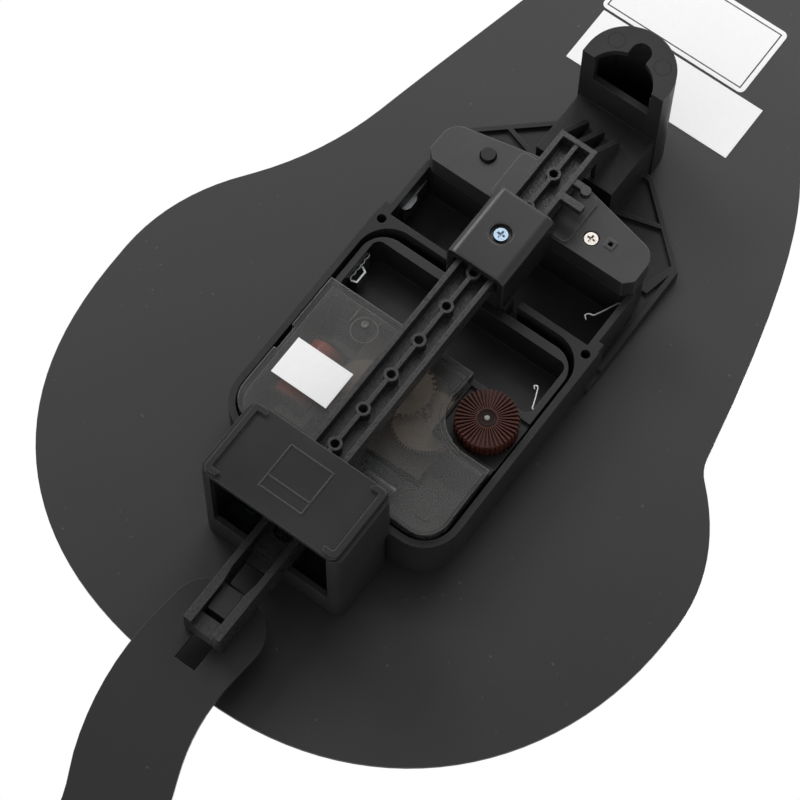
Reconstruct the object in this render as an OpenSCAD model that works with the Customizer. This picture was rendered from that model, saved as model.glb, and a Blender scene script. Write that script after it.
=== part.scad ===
// Silhouette wall clock with a quartz movement and a tail that swings as its pendulum.
// Every part is drawn in a work frame and then moved by hung(). The work frame has X to the
// right as seen from the front, Z up, and Y from the front towards the wall. Y = 0 is the rear
// face of the silhouette plate and Z = 0 is the middle of the row of rail holes.
// After hung() the origin is the point where the nail bears, on the wall plane.

/* [Silhouette plate] */
// Thickness of the steel sheet
plate_t = 1; // [0.8:0.1:1.6]
// Sideways place of the haunch oval's centre, from the hand shaft
haunch_x = -5.1; // [-8:0.1:2]
// Height of the haunch oval's centre
haunch_z = -20.4; // [-26:0.1:-16]
// Reach of the haunches to the left of the oval's centre, seen from the front
haunch_left = 72.7; // [68:0.1:80]
// Reach of the haunches to the right
haunch_right = 79.5; // [72:0.1:84]
// Reach of the haunches below the oval's centre
haunch_down = 74.3; // [70:0.1:80]
// Reach of the left half oval above the centre
haunch_up_left = 51.6; // [44:0.1:56]
// Reach of the right half oval above the centre
haunch_up_right = 60.7; // [50:0.1:66]
// Squareness of the lower left quarter, 2 is a true ellipse
power_left = 2.15; // [2:0.05:2.6]
// Squareness of the lower right quarter
power_right = 2.44; // [2:0.02:2.7]
// Height at which the sides of the back start
back_z = 15; // [8:1:22]
// Distance of the back's left side from the hand shaft at that height
back_left = 61; // [56:0.2:64]
// Distance of the back's right side
back_right = 54; // [50:0.2:60]
// Distance towards which the left side bows
bow_left = 45.1; // [38:0.1:52]
// Height towards which the left side bows
bow_left_z = 99; // [80:1:104]
// Distance towards which the right side bows
bow_right = 49.5; // [44:0.1:54]
// Height towards which the right side bows
bow_right_z = 46; // [40:1:80]
// Height of the neck
neck_z = 104; // [100:1:112]
// Distance of the neck's left side from the hand shaft
neck_left = 34; // [28:0.5:38]
// Distance of the neck's right side
neck_right = 36.2; // [28:0.1:38]
// Height from which the left side straightens into the neck
nape_left_z = 78; // [70:1:96]
// Height from which the right side straightens into the neck
nape_right_z = 97; // [76:1:100]
// Sideways place of the head's centre
head_x = 0.6; // [-4:0.1:4]
// Width of the head
head_w = 92; // [80:1:104]
// Height of the head oval
head_h = 76; // [66:1:86]
// Height of the head's centre
head_z = 146; // [140:1:152]
// Distance between the ear tips
ear_span = 66; // [54:1:74]
// Height of the ear tips
ear_z = 200; // [192:1:208]
// Width of an ear at its root
ear_root = 31; // [24:1:36]
// Radius of the ear tips
ear_tip_r = 2.5; // [1:0.5:5]
// Radius between the back and the left haunch
waist_left = 7; // [3:0.5:14]
// Radius between the back and the right haunch
waist_right = 80; // [20:1:100]
// Radius in the corners between neck, head and ears
neck_r = 9; // [3:0.5:14]

/* [Dial and hands] */
// Radius of the outer ends of the hour markers
marker_r = 61; // [54:0.5:66]
// Length of the four long markers
marker_long = 11; // [6:0.5:16]
// Length of the eight short markers
marker_short = 6; // [3:0.5:10]
// Width of a long marker
marker_w = 2.6; // [1.6:0.2:4]
// Width of a short marker
marker_short_w = 1.8; // [1:0.2:3]
// Thickness of the markers
marker_t = 0.6; // [0.3:0.1:1.2]
// Length of the minute hand from the shaft
minute_len = 55; // [44:0.5:58]
// Length of the hour hand from the shaft
hour_len = 37; // [28:0.5:42]
// Width of the minute hand at its root
minute_w = 4; // [3:0.2:6]
// Width of the hour hand at its root
hour_w = 5.4; // [4:0.2:8]
// Thickness of the hands' sheet
hand_t = 0.5; // [0.3:0.05:0.8]
// Length of a hand's tail behind the shaft
hand_tail = 12; // [6:0.5:18]
// Diameter of a hand's hub
hand_hub_d = 8; // [7:0.2:11]

/* [Housing] */
// Gap between the movement and the frame's sides
frame_gap = 0.9; // [0.5:0.1:1.4]
// Gap between the movement and the frame's top wall
head_gap = 2.3; // [1.6:0.1:2.8]
// Gap between the movement and the frame's bottom wall
foot_gap = 0.8; // [0.5:0.1:1.4]
// Wall of the frame
frame_wall = 1.6; // [1.2:0.1:1.6]
// Depth of the frame from the plate
frame_depth = 14.1; // [13.6:0.1:15]
// Radius of the frame's lower corners
frame_r = 9.3; // [7:0.1:10]
// Floor of the frame and of the battery bay
frame_floor = 1.5; // [1:0.1:1.6]
// Diameter of the two screw holes in the frame
frame_hole_d = 2.2; // [1.8:0.1:2.4]
// Distance of the screw holes from the frame's sides
frame_hole_edge = 2.2; // [2:0.1:2.5]
// Distance of the screw holes below the frame's top edge
frame_hole_drop = 2; // [1.8:0.1:2.3]
// Reach of the base flange past the frame's sides
flange_lip = 0.6; // [0.4:0.1:1.6]
// Thickness of the base flange
flange_t = 2.2; // [1.6:0.1:3]
// Height at which the flange starts to narrow
flange_shoulder = 47.5; // [46:0.5:50]
// Width of the flange at the hanger
flange_top_w = 25; // [23:0.5:30]
// Height of the raised rim and ribs on the flange
flange_rib_h = 1.1; // [0.5:0.1:1.6]
// Width of the raised rim and ribs
flange_rib_w = 1.2; // [0.8:0.1:2]
// Distance from the frame's sides to the ends of the battery bay
bay_edge = 3.1; // [2.8:0.1:3.5]
// Width of the battery bay inside
bay_w = 14.9; // [14.6:0.1:15.2]
// Wall of the battery bay
bay_wall = 1.5; // [1.1:0.1:1.7]
// Width of the block below the hanger
block_w = 20.6; // [18:0.2:21]
// Height of the block's lower end
block_bottom = 48.9; // [48:0.1:50]
// Depth of the block from the plate
block_depth = 15.4; // [14:0.1:17]
// Wall of the block
block_wall = 1.7; // [1.2:0.1:2.4]
// Thickness of the three buttresses above the rail's end
buttress_t = 1.2; // [0.8:0.1:1.6]
// Height of the buttresses' far end
buttress_end = 60; // [57:0.5:63]
// Height of a buttress at its far end
buttress_toe = 2.4; // [1:0.1:4]

/* [Hanger] */
// Width of the hanger tower
hanger_w = 21.6; // [20:0.2:24]
// Gap between the drive box's ridges and the wall
wall_clear = 0.3; // [0.1:0.1:2]
// Height of the tower's flat lower side
hanger_bottom = 65.7; // [65:0.1:67]
// Height of the arch's centre above the flat side
arch_rise = 2.2; // [1.4:0.1:3.4]
// Wall of the tower
hanger_wall = 1.6; // [1.2:0.1:2]
// Thickness of the tower's end plate with the keyhole
keyhole_t = 1.6; // [1.2:0.1:2.4]
// Radius of the keyhole's wide part
keyhole_r = 8; // [6.5:0.1:8.6]
// Drop of the centre of the keyhole's wide part below the flat side
keyhole_drop = 2.2; // [1:0.1:3]
// Diameter of the notch that the nail rests in
notch_d = 4.8; // [4:0.1:5.6]
// Height of the notch's top above the flat side, where the nail bears
notch_rise = 9.6; // [8.4:0.1:10.2]
// Depth from the plate to the sill of the tower's open side
sill_depth = 25; // [20:0.5:28]

/* [Bay cover] */
// Reach of the cover past the ends of the battery bay
cover_lip = 0.85; // [0.5:0.05:1.3]
// Lap of the cover over the battery bay's upper wall
cover_lap = 0.7; // [0.3:0.1:0.8]
// Height of the cover's top edge in the middle
cover_top = 44.9; // [44:0.1:46]
// Drop of the top edge towards the ends of the wings
cover_slope = 3.6; // [2:0.1:5]
// Depth from the plate to the cover's rear face
cover_depth = 20.3; // [19:0.1:21.4]
// Wall of the cover
cover_wall = 1.5; // [1:0.1:2]
// Radius of the wings' upper corners
cover_r = 4.5; // [2:0.1:6]
// Width of the raised middle panel
panel_w = 21; // [18:0.5:24]
// Height of the raised middle panel
panel_h = 0.7; // [0.3:0.1:1]
// Diameter of the locating peg
peg_d = 3.3; // [2.4:0.1:4]
// Sideways place of the locating peg
peg_x = 16.2; // [14:0.1:20]
// Height of the locating peg's place
peg_z = 38.3; // [36.5:0.1:39]
// Sideways place of the cover screw
cover_screw_x = -14; // [-17:0.1:-12]
// Height of the cover screw's place
cover_screw_z = 35.2; // [34.8:0.1:38]
// Side of the small square hole
latch_hole = 1.1; // [0.6:0.1:2]
// Sideways place of the small square hole
latch_x = -18.3; // [-20:0.1:-17.5]
// Height of the small square hole
latch_z = 36.5; // [34.5:0.1:37.5]

/* [Rail and clamp] */
// Width of the rail
rail_w = 9.6; // [8.6:0.1:9.8]
// Thickness of the rail
rail_t = 5; // [4:0.1:5.2]
// Gap between the cover's raised panel and the rail
rail_gap = 2; // [1.4:0.1:3]
// Height of the rail's upper end
rail_top = 50; // [49.8:0.1:50.2]
// Width of the rail's side ribs
rail_rib = 1.2; // [0.8:0.1:1.6]
// Width of the rail's middle rib
rail_mid_rib = 1; // [0.6:0.1:1.4]
// Thickness of the rail's web
rail_web = 1.5; // [1:0.1:2.4]
// Distance between rail holes
rail_pitch = 10; // [9.8:0.1:10.2]
// Number of rail holes on each side of the middle one
rail_side = 4; // [3:1:4]
// Diameter of the rail holes
rail_hole_d = 2; // [1.6:0.1:2.4]
// Diameter of the bosses round the holes
rail_boss_d = 3.3; // [3:0.1:4]
// Length of the rail inside the drive box
rail_tuck = 6; // [4:0.1:7]
// Height of the rail's longer side arm
stop_z = 36.6; // [35:0.1:37]
// Length of the longer side arm
stop_len = 5.4; // [3:0.1:7]
// Height of the rail's shorter side arm
hook_arm_z = 41.2; // [40:0.1:43]
// Length of the shorter side arm
hook_arm_len = 3.2; // [2:0.1:5]
// Width of the clamp
clamp_w = 15; // [14.4:0.1:17]
// Length of the clamp along the rail
clamp_len = 19.1; // [14:0.1:19.6]
// Wall of the clamp
clamp_wall = 1.7; // [1.2:0.1:1.8]
// Thickness of the clamp's top
clamp_top_t = 2.4; // [1.8:0.1:3]
// Length of the clamp's side walls, from its top face
clamp_skirt = 13; // [9:0.5:13.4]
// Radius along the clamp's long edges
clamp_r = 2.2; // [1:0.1:2.4]
// Diameter of the recess round the clamp screw
clamp_recess_d = 5; // [4.2:0.1:6]
// Depth of the recess round the clamp screw
clamp_recess = 1.3; // [0.8:0.1:1.6]

/* [Drive box] */
// Width of the drive box
box_w = 36.8; // [34:0.2:40]
// Height of the drive box
box_h = 19.5; // [18.5:0.1:22]
// Lap of the drive box's rear part over the frame's bottom edge
box_lap = 1.3; // [0.8:0.1:1.8]
// Depth from the rail's rear face to the cap's rear face
box_over = 5.6; // [4.6:0.1:6]
// Gap between the plate and the drive box
box_gap = 0.6; // [0.4:0.1:1.6]
// Wall of the drive box
box_wall = 1.4; // [1:0.1:2]
// Radius of the drive box's corners
box_r = 2.2; // [1.6:0.1:3]
// Thickness of the box cap
cap_t = 1.4; // [1:0.1:2]
// Width of the box's end walls outside the cap
cap_inset = 1; // [0.8:0.1:1.3]
// Depth from the plate to the sill of the mouth
mouth_sill = 8.5; // [7:0.1:8.8]
// Width of the mouth that the pendulum arm hangs through
mouth_w = 30.6; // [26:0.2:32]
// Diameter of the drive coil's winding
drive_coil_d = 7.8; // [6:0.1:8]
// Diameter of the drive bobbin's core
drive_core_d = 3.4; // [2.6:0.1:4]
// Width of the raised ridges on the cap's ends
ridge_w = 1.3; // [0.8:0.1:2]
// Height of the raised ridges
ridge_h = 0.8; // [0.4:0.1:1.2]
// Length of the ridges' short returns
ridge_return = 3.6; // [2:0.1:5]
// Width of the blank framed panel on the cap
badge_w = 11.4; // [8:0.2:14]
// Height of the blank framed panel on the cap
badge_h = 11.5; // [8:0.1:12]
// Height of the panel's lower strip
badge_strip = 3.3; // [2:0.1:4]

/* [Pendulum] */
// Drop of the pendulum's pivot below the box's top edge
pivot_drop = 5.1; // [4.8:0.1:6]
// Diameter of the pivot pin
pivot_d = 1.5; // [1.2:0.1:2]
// Diameter of the hub round the pivot
hub_d = 4.2; // [3.6:0.1:4.4]
// Width across the arm's two legs
fork_w = 9.7; // [9:0.1:11]
// Width of a leg above the flare
leg_w = 1.5; // [1.2:0.1:2]
// Width of a leg below the flare
foot_w = 2.1; // [1.6:0.1:2.6]
// Depth from the plate to the arm's front face
fork_front = 9.5; // [9.3:0.1:10.2]
// Depth from the plate to the arm's rear face
fork_rear = 17; // [16:0.1:18]
// Length of the arm below the pivot
fork_len = 37.9; // [36:0.1:40]
// Distance from the pivot to where the legs start to flare
flare_drop = 23; // [21:0.5:25]
// Distance from the pivot to the bottom of the arm's hook bar
hook_drop = 31.6; // [30:0.1:33]
// Diameter of the drive magnet
magnet_d = 5.6; // [4:0.1:6]
// Thickness of the drive magnet
magnet_t = 3; // [2:0.1:4]
// Distance from the pivot to the drive magnet
magnet_drop = 8.4; // [7.6:0.1:9.4]

/* [Tail] */
// Thickness of the tail's sheet
tail_t = 1; // [0.8:0.1:1.2]
// Width of the tail
tail_w = 22.7; // [18:0.1:25]
// Width of the tail near its tip
tail_tip_w = 15; // [10:0.5:20]
// Height of the tail's top edge above the hook bar's lower side
tail_rise = 7.2; // [6.4:0.1:8]
// Radius of the tail's top corners
tail_top_r = 9; // [6:0.5:10]
// Lean of the straight stretch at the top
tail_lean = 5; // [0:0.5:7]
// Length of the straight stretch at the top
tail_straight = 16; // [14:0.5:24]
// Radius of the first bend
bend_1_r = 60; // [50:1:80]
// Angle of the first bend
bend_1_a = 31; // [26:0.5:33]
// Radius of the second bend
bend_2_r = 47; // [40:1:56]
// Angle of the second bend
bend_2_a = 102; // [95:0.5:115]
// Width of the tab that hooks over the arm's bar
tab_w = 4.6; // [3.6:0.1:5]
// Length of the tab
tab_len = 6.4; // [4:0.1:6.8]
// Length of the window below the tab
window_len = 11.5; // [8:0.1:15]

/* [Movement] */
// Width of the movement
move_w = 55; // [53:0.1:56.4]
// Height of the movement's top edge
move_top = 12.2; // [11.8:0.1:12.6]
// Height of the movement's bottom edge
move_bottom = -42.8; // [-43:0.1:-42]
// Depth from the plate to the clear cover's rear face
move_depth = 16.2; // [16:0.1:16.3]
// Depth from the plate to the case's rear edge
case_depth = 13; // [12.8:0.1:13.2]
// Wall of the movement case
case_wall = 1.5; // [1.2:0.1:1.7]
// Floor of the movement case
case_floor = 1.2; // [1:0.1:1.3]
// Radius of the movement's corners
case_r = 6; // [4:0.1:7]
// Distance from the movement's top edge to its battery bay
cell_edge = 2.2; // [1.8:0.1:2.4]
// Width of the movement's battery bay
cell_w = 14.9; // [14.7:0.1:15.3]
// Wall of the clear cover
lens_wall = 1.2; // [0.9:0.1:1.3]
// Gap between the hour wheel and the wall of the battery bay
hour_gap = 0.6; // [0.3:0.1:1]
// Diameter of the setting knob
knob_d = 14.3; // [13:0.1:15]
// Distance of the setting knob's middle from the movement's side
knob_edge = 7.5; // [7.2:0.1:8]
// Height of the setting knob's middle above the hand shaft
knob_rise = 2.9; // [2:0.1:3]
// Depth from the plate to the knob's rear face
knob_depth = 17; // [16.4:0.1:18]
// Diameter of the setting knob's stem
knob_stem_d = 3; // [2.4:0.1:3.6]
// Number of ribs on the knob
knob_ribs = 40; // [24:1:48]
// Sideways place of the coil
coil_x = 18.8; // [18.6:0.1:19.4]
// Diameter of the coil
coil_d = 8.6; // [7:0.1:8.8]
// Diameter of the coil bobbin's core
coil_core_d = 4.4; // [3.6:0.1:5]
// Length of the winding
coil_len = 15; // [12:0.1:15.5]
// Drop of the coil's middle below the hand shaft
coil_drop = 10; // [9.6:0.1:10.4]
// Length of the clock's circuit board
board_w = 28.8; // [26:0.2:30]
// Height of the clock's circuit board
board_h = 9; // [8:0.1:10]

/* [Shaft and fits] */
// Diameter of the threaded bush
bush_d = 7.8; // [7.4:0.1:8.4]
// Diameter of the hour pipe
pipe_d = 5.2; // [5:0.1:5.6]
// Diameter of the minute arbor
arbor_d = 3.3; // [3:0.1:3.5]
// Diameter of the thin pivots in the movement
pin_d = 1; // [0.8:0.05:1.1]
// Radial clearance of a turning fit
run_fit = 0.05; // [0.02:0.01:0.08]
// Radial clearance of a fixed fit
seat_fit = 0.05; // [0.02:0.01:0.1]
// Diameter of the small screw heads
screw_head_d = 3.2; // [2.8:0.1:3.6]
// Diameter of the small screw shanks
screw_d = 1.8; // [1.4:0.05:1.9]

/* [Stickers] */
// Thickness of the paper stickers
sticker_t = 0.15; // [0.1:0.05:0.3]
// Radius of the upper sticker's corners
sticker_r = 1.4; // [0.5:0.1:3]
// Width of the upper sticker
upper_w = 39.9; // [30:0.1:44]
// Height of the upper sticker
upper_h = 19.8; // [12:0.1:24]
// Sideways place of the upper sticker's middle
upper_x = 4; // [-4:0.1:6]
// Height of the upper sticker's lower edge
upper_z = 95.6; // [95:0.1:104]
// Width of the lower sticker
lower_w = 44.9; // [30:0.1:50]
// Height of the lower sticker
lower_h = 15.4; // [10:0.1:15.8]
// Sideways place of the lower sticker's middle
lower_x = 0.2; // [-4:0.1:4]
// Height of the lower sticker's lower edge
lower_z = 79.5; // [79:0.1:79.6]
// Width of the small sticker on the clear cover
lot_w = 14.9; // [10:0.1:16]
// Height of the small sticker
lot_h = 10; // [6:0.1:12]
// Distance of the small sticker from the movement's side
lot_edge = 3.1; // [2:0.1:6]
// Distance of the small sticker from the movement's bottom edge
lot_rise = 11.9; // [3:0.1:13]

/* [Hidden] */
$fn = 48;

// Colours
black_plastic = "#26272a";
dark_plastic = "#1d1e20";
sheet_black = "#3a3b3d";
steel = "#b9bcc0";
brass = "#b8923f";
copper = "#9a4a2c";
paper = "#f0f0ee";

// A length greater than any piece's
far = 400;

// Levels along Y, from the plate's rear face
rail_front = cover_depth + panel_h + rail_gap;
rail_depth = rail_front + rail_t;
box_depth = rail_depth + box_over;
wall_gap = box_depth + ridge_h + wall_clear;
beam_front = case_depth + 3.6;
case_front = frame_floor;
floor_top = case_front + case_floor;
hour_level = floor_top + 0.3;
motion_level = hour_level + 1.6;
bridge_level = motion_level + 1.5;
bridge_t = 1;
centre_level = bridge_level + bridge_t + 0.3;
third_level = centre_level + 1.7;
fourth_level = third_level + 1.4;
fifth_level = fourth_level + 1.5;
wheel_t = 0.8;
lens_inside = move_depth - lens_wall;
deck_rear = case_depth - 1;
deck_t = 1.2;

// Levels along Y in front of the plate
washer_t = 0.6;
nut_t = 2.2;
washer_front = -plate_t - washer_t;
nut_front = washer_front - nut_t;
bush_front = nut_front - 1.2;
hour_hand_front = bush_front - 1.6;
pipe_front = hour_hand_front - 0.3;
minute_hand_front = hour_hand_front - 2.2;
arbor_front = minute_hand_front - 1;
cap_front = arbor_front - 1.2;

// Gear train: tooth counts, modules and the teeth's depths in modules
tooth_depth = 0.85;
root_depth = 1.15;
arbor_teeth = 12;
motion_teeth = 36;
knob_x = knob_edge - move_w / 2;
motion_mod = -knob_x / 50;
motion_pinion = 10;
hour_teeth = 40;
motion_reach = (arbor_teeth + motion_teeth) / 2 * motion_mod;
hour_mod = 2 * motion_reach / (motion_pinion + hour_teeth);
knob_teeth = 18;
knob_reach = (knob_teeth + motion_teeth) / 2 * motion_mod;
centre_teeth = 60;
third_pinion = 8;
centre_mod = 0.25;
third_reach = (centre_teeth + third_pinion) / 2 * centre_mod;
third_teeth = 64;
fourth_pinion = 8;
third_mod = 2 * third_reach / (third_teeth + fourth_pinion);
fourth_teeth = 30;
fifth_pinion = 10;
fourth_mod = 0.45;
fifth_reach = (fourth_teeth + fifth_pinion) / 2 * fourth_mod;
fifth_teeth = 60;
rotor_pinion = 6;
fifth_mod = 0.2;
rotor_reach = (fifth_teeth + rotor_pinion) / 2 * fifth_mod;

// Places of the arbors in the X-Z plane
cell_top = move_top - cell_edge;
divide_z = cell_top - cell_w;
hour_r = (hour_teeth / 2 + tooth_depth) * hour_mod;
shaft_z = divide_z - case_wall - hour_gap - hour_r;
shaft = [0, shaft_z];
knob_z = shaft_z + knob_rise;
knob = [knob_x, knob_z];
third = shaft + third_reach * [cos(200), sin(200)];
fifth_dir = -35;
fifth = shaft + fifth_reach * [cos(fifth_dir), sin(fifth_dir)];
rotor_dir = -75;
rotor_at = fifth + rotor_reach * [cos(rotor_dir), sin(rotor_dir)];
knob_gap = norm(knob - shaft);
knob_dir = atan2(knob[1] - shaft[1], knob[0] - shaft[0]);
motion_turn = acos((motion_reach ^ 2 + knob_gap ^ 2 - knob_reach ^ 2)
    / (2 * motion_reach * knob_gap));
motion_dir = knob_dir + motion_turn;
motion = shaft + motion_reach * [cos(motion_dir), sin(motion_dir)];
knob_from_motion = atan2(knob[1] - motion[1], knob[0] - motion[0]);

// Places that follow from the sizes
frame_w = move_w + 2 * (frame_gap + frame_wall);
frame_top = move_top + head_gap + frame_wall;
frame_bottom = move_bottom - foot_gap - frame_wall;
frame_hole_span = frame_w - 2 * frame_hole_edge;
flange_w = frame_w + 2 * flange_lip;
bay_len = frame_w - 2 * bay_edge;
cover_w = bay_len + 2 * cover_lip;
keyhole_z = hanger_bottom - keyhole_drop;
hanger_arch = hanger_bottom + arch_rise;
notch_top = hanger_bottom + notch_rise;
shaft_bore = bush_d / 2 + 0.2;
bay_top = frame_top + bay_w;
cover_bottom = bay_top - cover_lap;
bay_outer = bay_len / 2 + bay_wall;
box_top = frame_bottom + box_lap;
box_bottom = box_top - box_h;
box_mid = (box_top + box_bottom) / 2;
box_step = frame_depth + 0.3;
box_step_z = frame_bottom - 0.3;
box_ceiling = box_step_z - 1;
pivot_z = box_top - pivot_drop;
magnet_z = pivot_z - magnet_drop;
flare_z = pivot_z - flare_drop;
hook_z = pivot_z - hook_drop;
fork_bottom = pivot_z - fork_len;
tail_top = hook_z + tail_rise;
coil_z = shaft_z - coil_drop;
notch_at = 7.2;
notch_w = 2.1;
cap_front_face = box_depth - cap_t;
clamp_mid = 2 * rail_pitch;
clamp_inner = clamp_w / 2 - clamp_wall;
beam_w = 2 * (clamp_inner - seat_fit);
cover_under = frame_depth;
coil_floor = box_gap + box_wall;
tail_front = fork_front - 0.1 - tail_t;

// Moves a piece from the work frame to the hanging frame
module hung() {
    translate([0, -wall_gap, -notch_top]) children();
}

// Extrudes an outline drawn in X and Z from depth y0 to depth y1
module slab(y0, y1) {
    translate([0, y1, 0]) rotate([90, 0, 0]) linear_extrude(y1 - y0) children();
}

// Round bar along Y
module post(at, y0, y1, d) {
    translate([at[0], y0, at[1]]) rotate([-90, 0, 0]) cylinder(h = y1 - y0, d = d);
}

// Rectangle between two corners
module span(x0, z0, x1, z1) {
    translate([x0, z0]) square([x1 - x0, z1 - z0]);
}

// Rectangle with round corners between two corners
module soft_span(x0, z0, x1, z1, r) {
    span(x0 + r, z0, x1 - r, z1);
    span(x0, z0 + r, x1, z1 - r);
    for (x = [x0 + r, x1 - r], z = [z0 + r, z1 - r]) translate([x, z]) circle(r);
}

// Symmetric rectangle with its lower corners round
module tray_span(w, z0, z1, r) {
    span(-w / 2, z0 + r, w / 2, z1);
    span(-w / 2 + r, z0, w / 2 - r, z1);
    for (x = [-w / 2 + r, w / 2 - r]) translate([x, z0 + r]) circle(r);
}

// Points of an arc about a centre
function arc(c, r, a0, a1, n) = [for (i = [0:n]) c + r * [cos(a0 + (a1 - a0) * i / n),
    sin(a0 + (a1 - a0) * i / n)]];

// Outline of a gear with slender teeth, first tooth at the given angle
function gear_points(n, m, phase) = [for (i = [0:n - 1], k = [0:3])
    let (r = m * n / 2 + (k == 0 || k == 3 ? -root_depth : tooth_depth) * m,
        side = [-0.21, -0.09, 0.09, 0.21][k],
        a = phase + (i + side) * 360 / n) r * [cos(a), sin(a)]];

// Angle of a tooth that puts a gear in mesh with its neighbour
function mesh_phase(n1, phase1, n2, dir) = dir + 180 + ((dir - phase1) * n1 - 180) / n2;

module gear(at, n, m, phase, y0, t) {
    slab(y0, y0 + t) translate(at) polygon(gear_points(n, m, phase));
}

// Cross-slotted screw with a flat round head along Y
module cross_screw(at, head_rear, head_t, length) {
    difference() {
        union() {
            post(at, head_rear - head_t, head_rear, screw_head_d);
            post(at, head_rear - head_t - length, head_rear - head_t, screw_d);
        }
        slab(head_rear - 0.7, head_rear + 1) translate(at) {
            square([screw_head_d * 0.6, 0.5], center = true);
            square([0.5, screw_head_d * 0.6], center = true);
        }
    }
}

// Oval of the haunches, each quarter with its own reach and squareness
function haunch_points(n) = [for (i = [0:n - 1]) let (a = 360 * i / n, c = cos(a), s = sin(a),
        reach = c < 0 ? haunch_left : haunch_right,
        rise = s < 0 ? haunch_down : c < 0 ? haunch_up_left : haunch_up_right,
        power = s > 0 ? 2 : c < 0 ? power_left : power_right)
    [haunch_x + sign(c) * reach * abs(c) ^ (2 / power),
        haunch_z + sign(s) * rise * abs(s) ^ (2 / power)]];

// Point of a cubic curve
function cubic(a, b, c, d, t) = (1 - t) ^ 3 * a + 3 * (1 - t) ^ 2 * t * b
    + 3 * (1 - t) * t * t * c + t ^ 3 * d;

function back_side(at_back, at_bow, bow_height, at_neck, nape) = [for (i = [0:16])
    cubic([at_back, back_z], [at_bow, bow_height], [at_neck, nape], [at_neck, neck_z], i / 16)];

// The back and the haunches, with a corner of its own on each side
module lower_body(r) {
    left = back_side(-back_left, -bow_left, bow_left_z, -neck_left, nape_left_z);
    right = back_side(back_right, bow_right, bow_right_z, neck_right, nape_right_z);
    offset(r = -r, $fn = 120) offset(delta = r) {
        polygon(haunch_points(120));
        polygon(concat([[-haunch_left * 0.7, haunch_z]], [[haunch_right * 0.6, haunch_z]], right,
            [[neck_right, head_z], [-neck_left, head_z]], [for (i = [16:-1:0]) left[i]]));
    }
}

module ear(k) {
    tip = [k * ear_span / 2, ear_z];
    outer = [k * (head_w / 2 - 1), head_z + 6];
    inner = [k * (head_w / 2 - ear_root), head_z + head_h / 2 - 4];
    polygon([tip, outer, [k * head_w / 5, head_z], inner]);
}

// Outline of a seated animal seen from behind
module silhouette() {
    offset(r = ear_tip_r, $fn = 32) offset(delta = -ear_tip_r)
        offset(r = -neck_r, $fn = 40) offset(delta = neck_r) {
            intersection() {
                lower_body(waist_left);
                span(-far, -far, 0, far);
            }
            intersection() {
                lower_body(waist_right);
                span(0, -far, far, far);
            }
            translate([head_x, head_z]) scale([head_w / head_h, 1]) circle(head_h / 2, $fn = 96);
            translate([head_x, 0]) ear(1);
            translate([head_x, 0]) ear(-1);
        }
}

// Outline of the hanger tower: an arch on a flat lower side
module arch(w, z0, centre) {
    intersection() {
        union() {
            translate([0, centre]) circle(w / 2);
            span(-w / 2, z0, w / 2, centre);
        }
        span(-w, z0, w, centre + w);
    }
}

// Outline of the base flange
module flange_outline(inset) {
    polygon([[-flange_w / 2 + inset, frame_top - 4], [flange_w / 2 - inset, frame_top - 4],
        [flange_w / 2 - inset, flange_shoulder - inset * 0.4],
        [flange_top_w / 2 - inset * 0.4, hanger_bottom - 1.9 - inset],
        [-flange_top_w / 2 + inset * 0.4, hanger_bottom - 1.9 - inset],
        [-flange_w / 2 + inset, flange_shoulder - inset * 0.4]]);
}

// Outline of the bay cover
module cover_outline(inset) {
    e = cover_w / 2 - inset;
    low = cover_bottom + inset;
    top = cover_top - inset;
    shoulder = top - cover_slope;
    r = max(cover_r - inset, 0.5);
    polygon(concat([[-e + 2, low], [e - 2, low], [e, low + 2]],
        arc([e - r, shoulder - r], r, 0, 70, 8), [[panel_w / 3, top], [-panel_w / 3, top]],
        arc([-e + r, shoulder - r], r, 110, 180, 8), [[-e, low + 2]]));
}

module face_plate() {
    color(sheet_black) hung() difference() {
        slab(-plate_t, 0) silhouette();
        post(shaft, -plate_t - 1, 1, 2 * shaft_bore);
    }
}

module hour_markers() {
    color(paper) hung() for (h = [0:11]) {
        long = h % 3 == 0;
        len = long ? marker_long : marker_short;
        w = long ? marker_w : marker_short_w;
        slab(-plate_t - marker_t, -plate_t) translate(shaft) rotate(h * 30)
            translate([-w / 2, marker_r - len]) square([w, len]);
    }
}

module frame_walls() {
    bore_at = frame_top - frame_hole_drop;
    difference() {
        slab(0, frame_depth) union() {
            tray_span(frame_w, frame_bottom, frame_top, frame_r);
            span(-bay_outer - 1.3, frame_top - 1, bay_outer + 1.3, frame_top + 2.2);
            span(-bay_outer, frame_top, bay_outer, bay_top + bay_wall);
        }
        slab(frame_floor, frame_depth + 1) {
            tray_span(frame_w - 2 * frame_wall, frame_bottom + frame_wall,
                frame_top - frame_wall - 8, frame_r - frame_wall);
            soft_span(-frame_w / 2 + frame_wall, frame_bottom + 12, frame_w / 2 - frame_wall,
                frame_top - frame_wall, 8);
        }
        slab(frame_floor, frame_depth + 1)
            span(-bay_len / 2, frame_top, bay_len / 2, bay_top);
        for (k = [-1, 1])
            post([k * frame_hole_span / 2, bore_at], frame_depth - 9, frame_depth + 1, frame_hole_d);
        post(shaft, -1, frame_floor + 1, bush_d + 0.8);
        for (k = [-1, 1]) slab(frame_depth - 7, frame_depth + 1)
            translate([k * (notch_at + notch_w / 2), 0])
                span(-notch_w / 2, frame_top - frame_wall - 1, notch_w / 2, frame_top + 2.3);
    }
    for (k = [-1, 1]) slab(frame_depth - 8, frame_depth) {
        translate([k * (notch_at - 0.5), 0])
            span(-0.5, frame_top - frame_wall - 2, 0.5, frame_top - 0.5);
        translate([k * (notch_at - 2.4), 0])
            span(-2.4, frame_top - frame_wall - 2, 2.4, frame_top - frame_wall - 1.1);
    }
}

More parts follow.
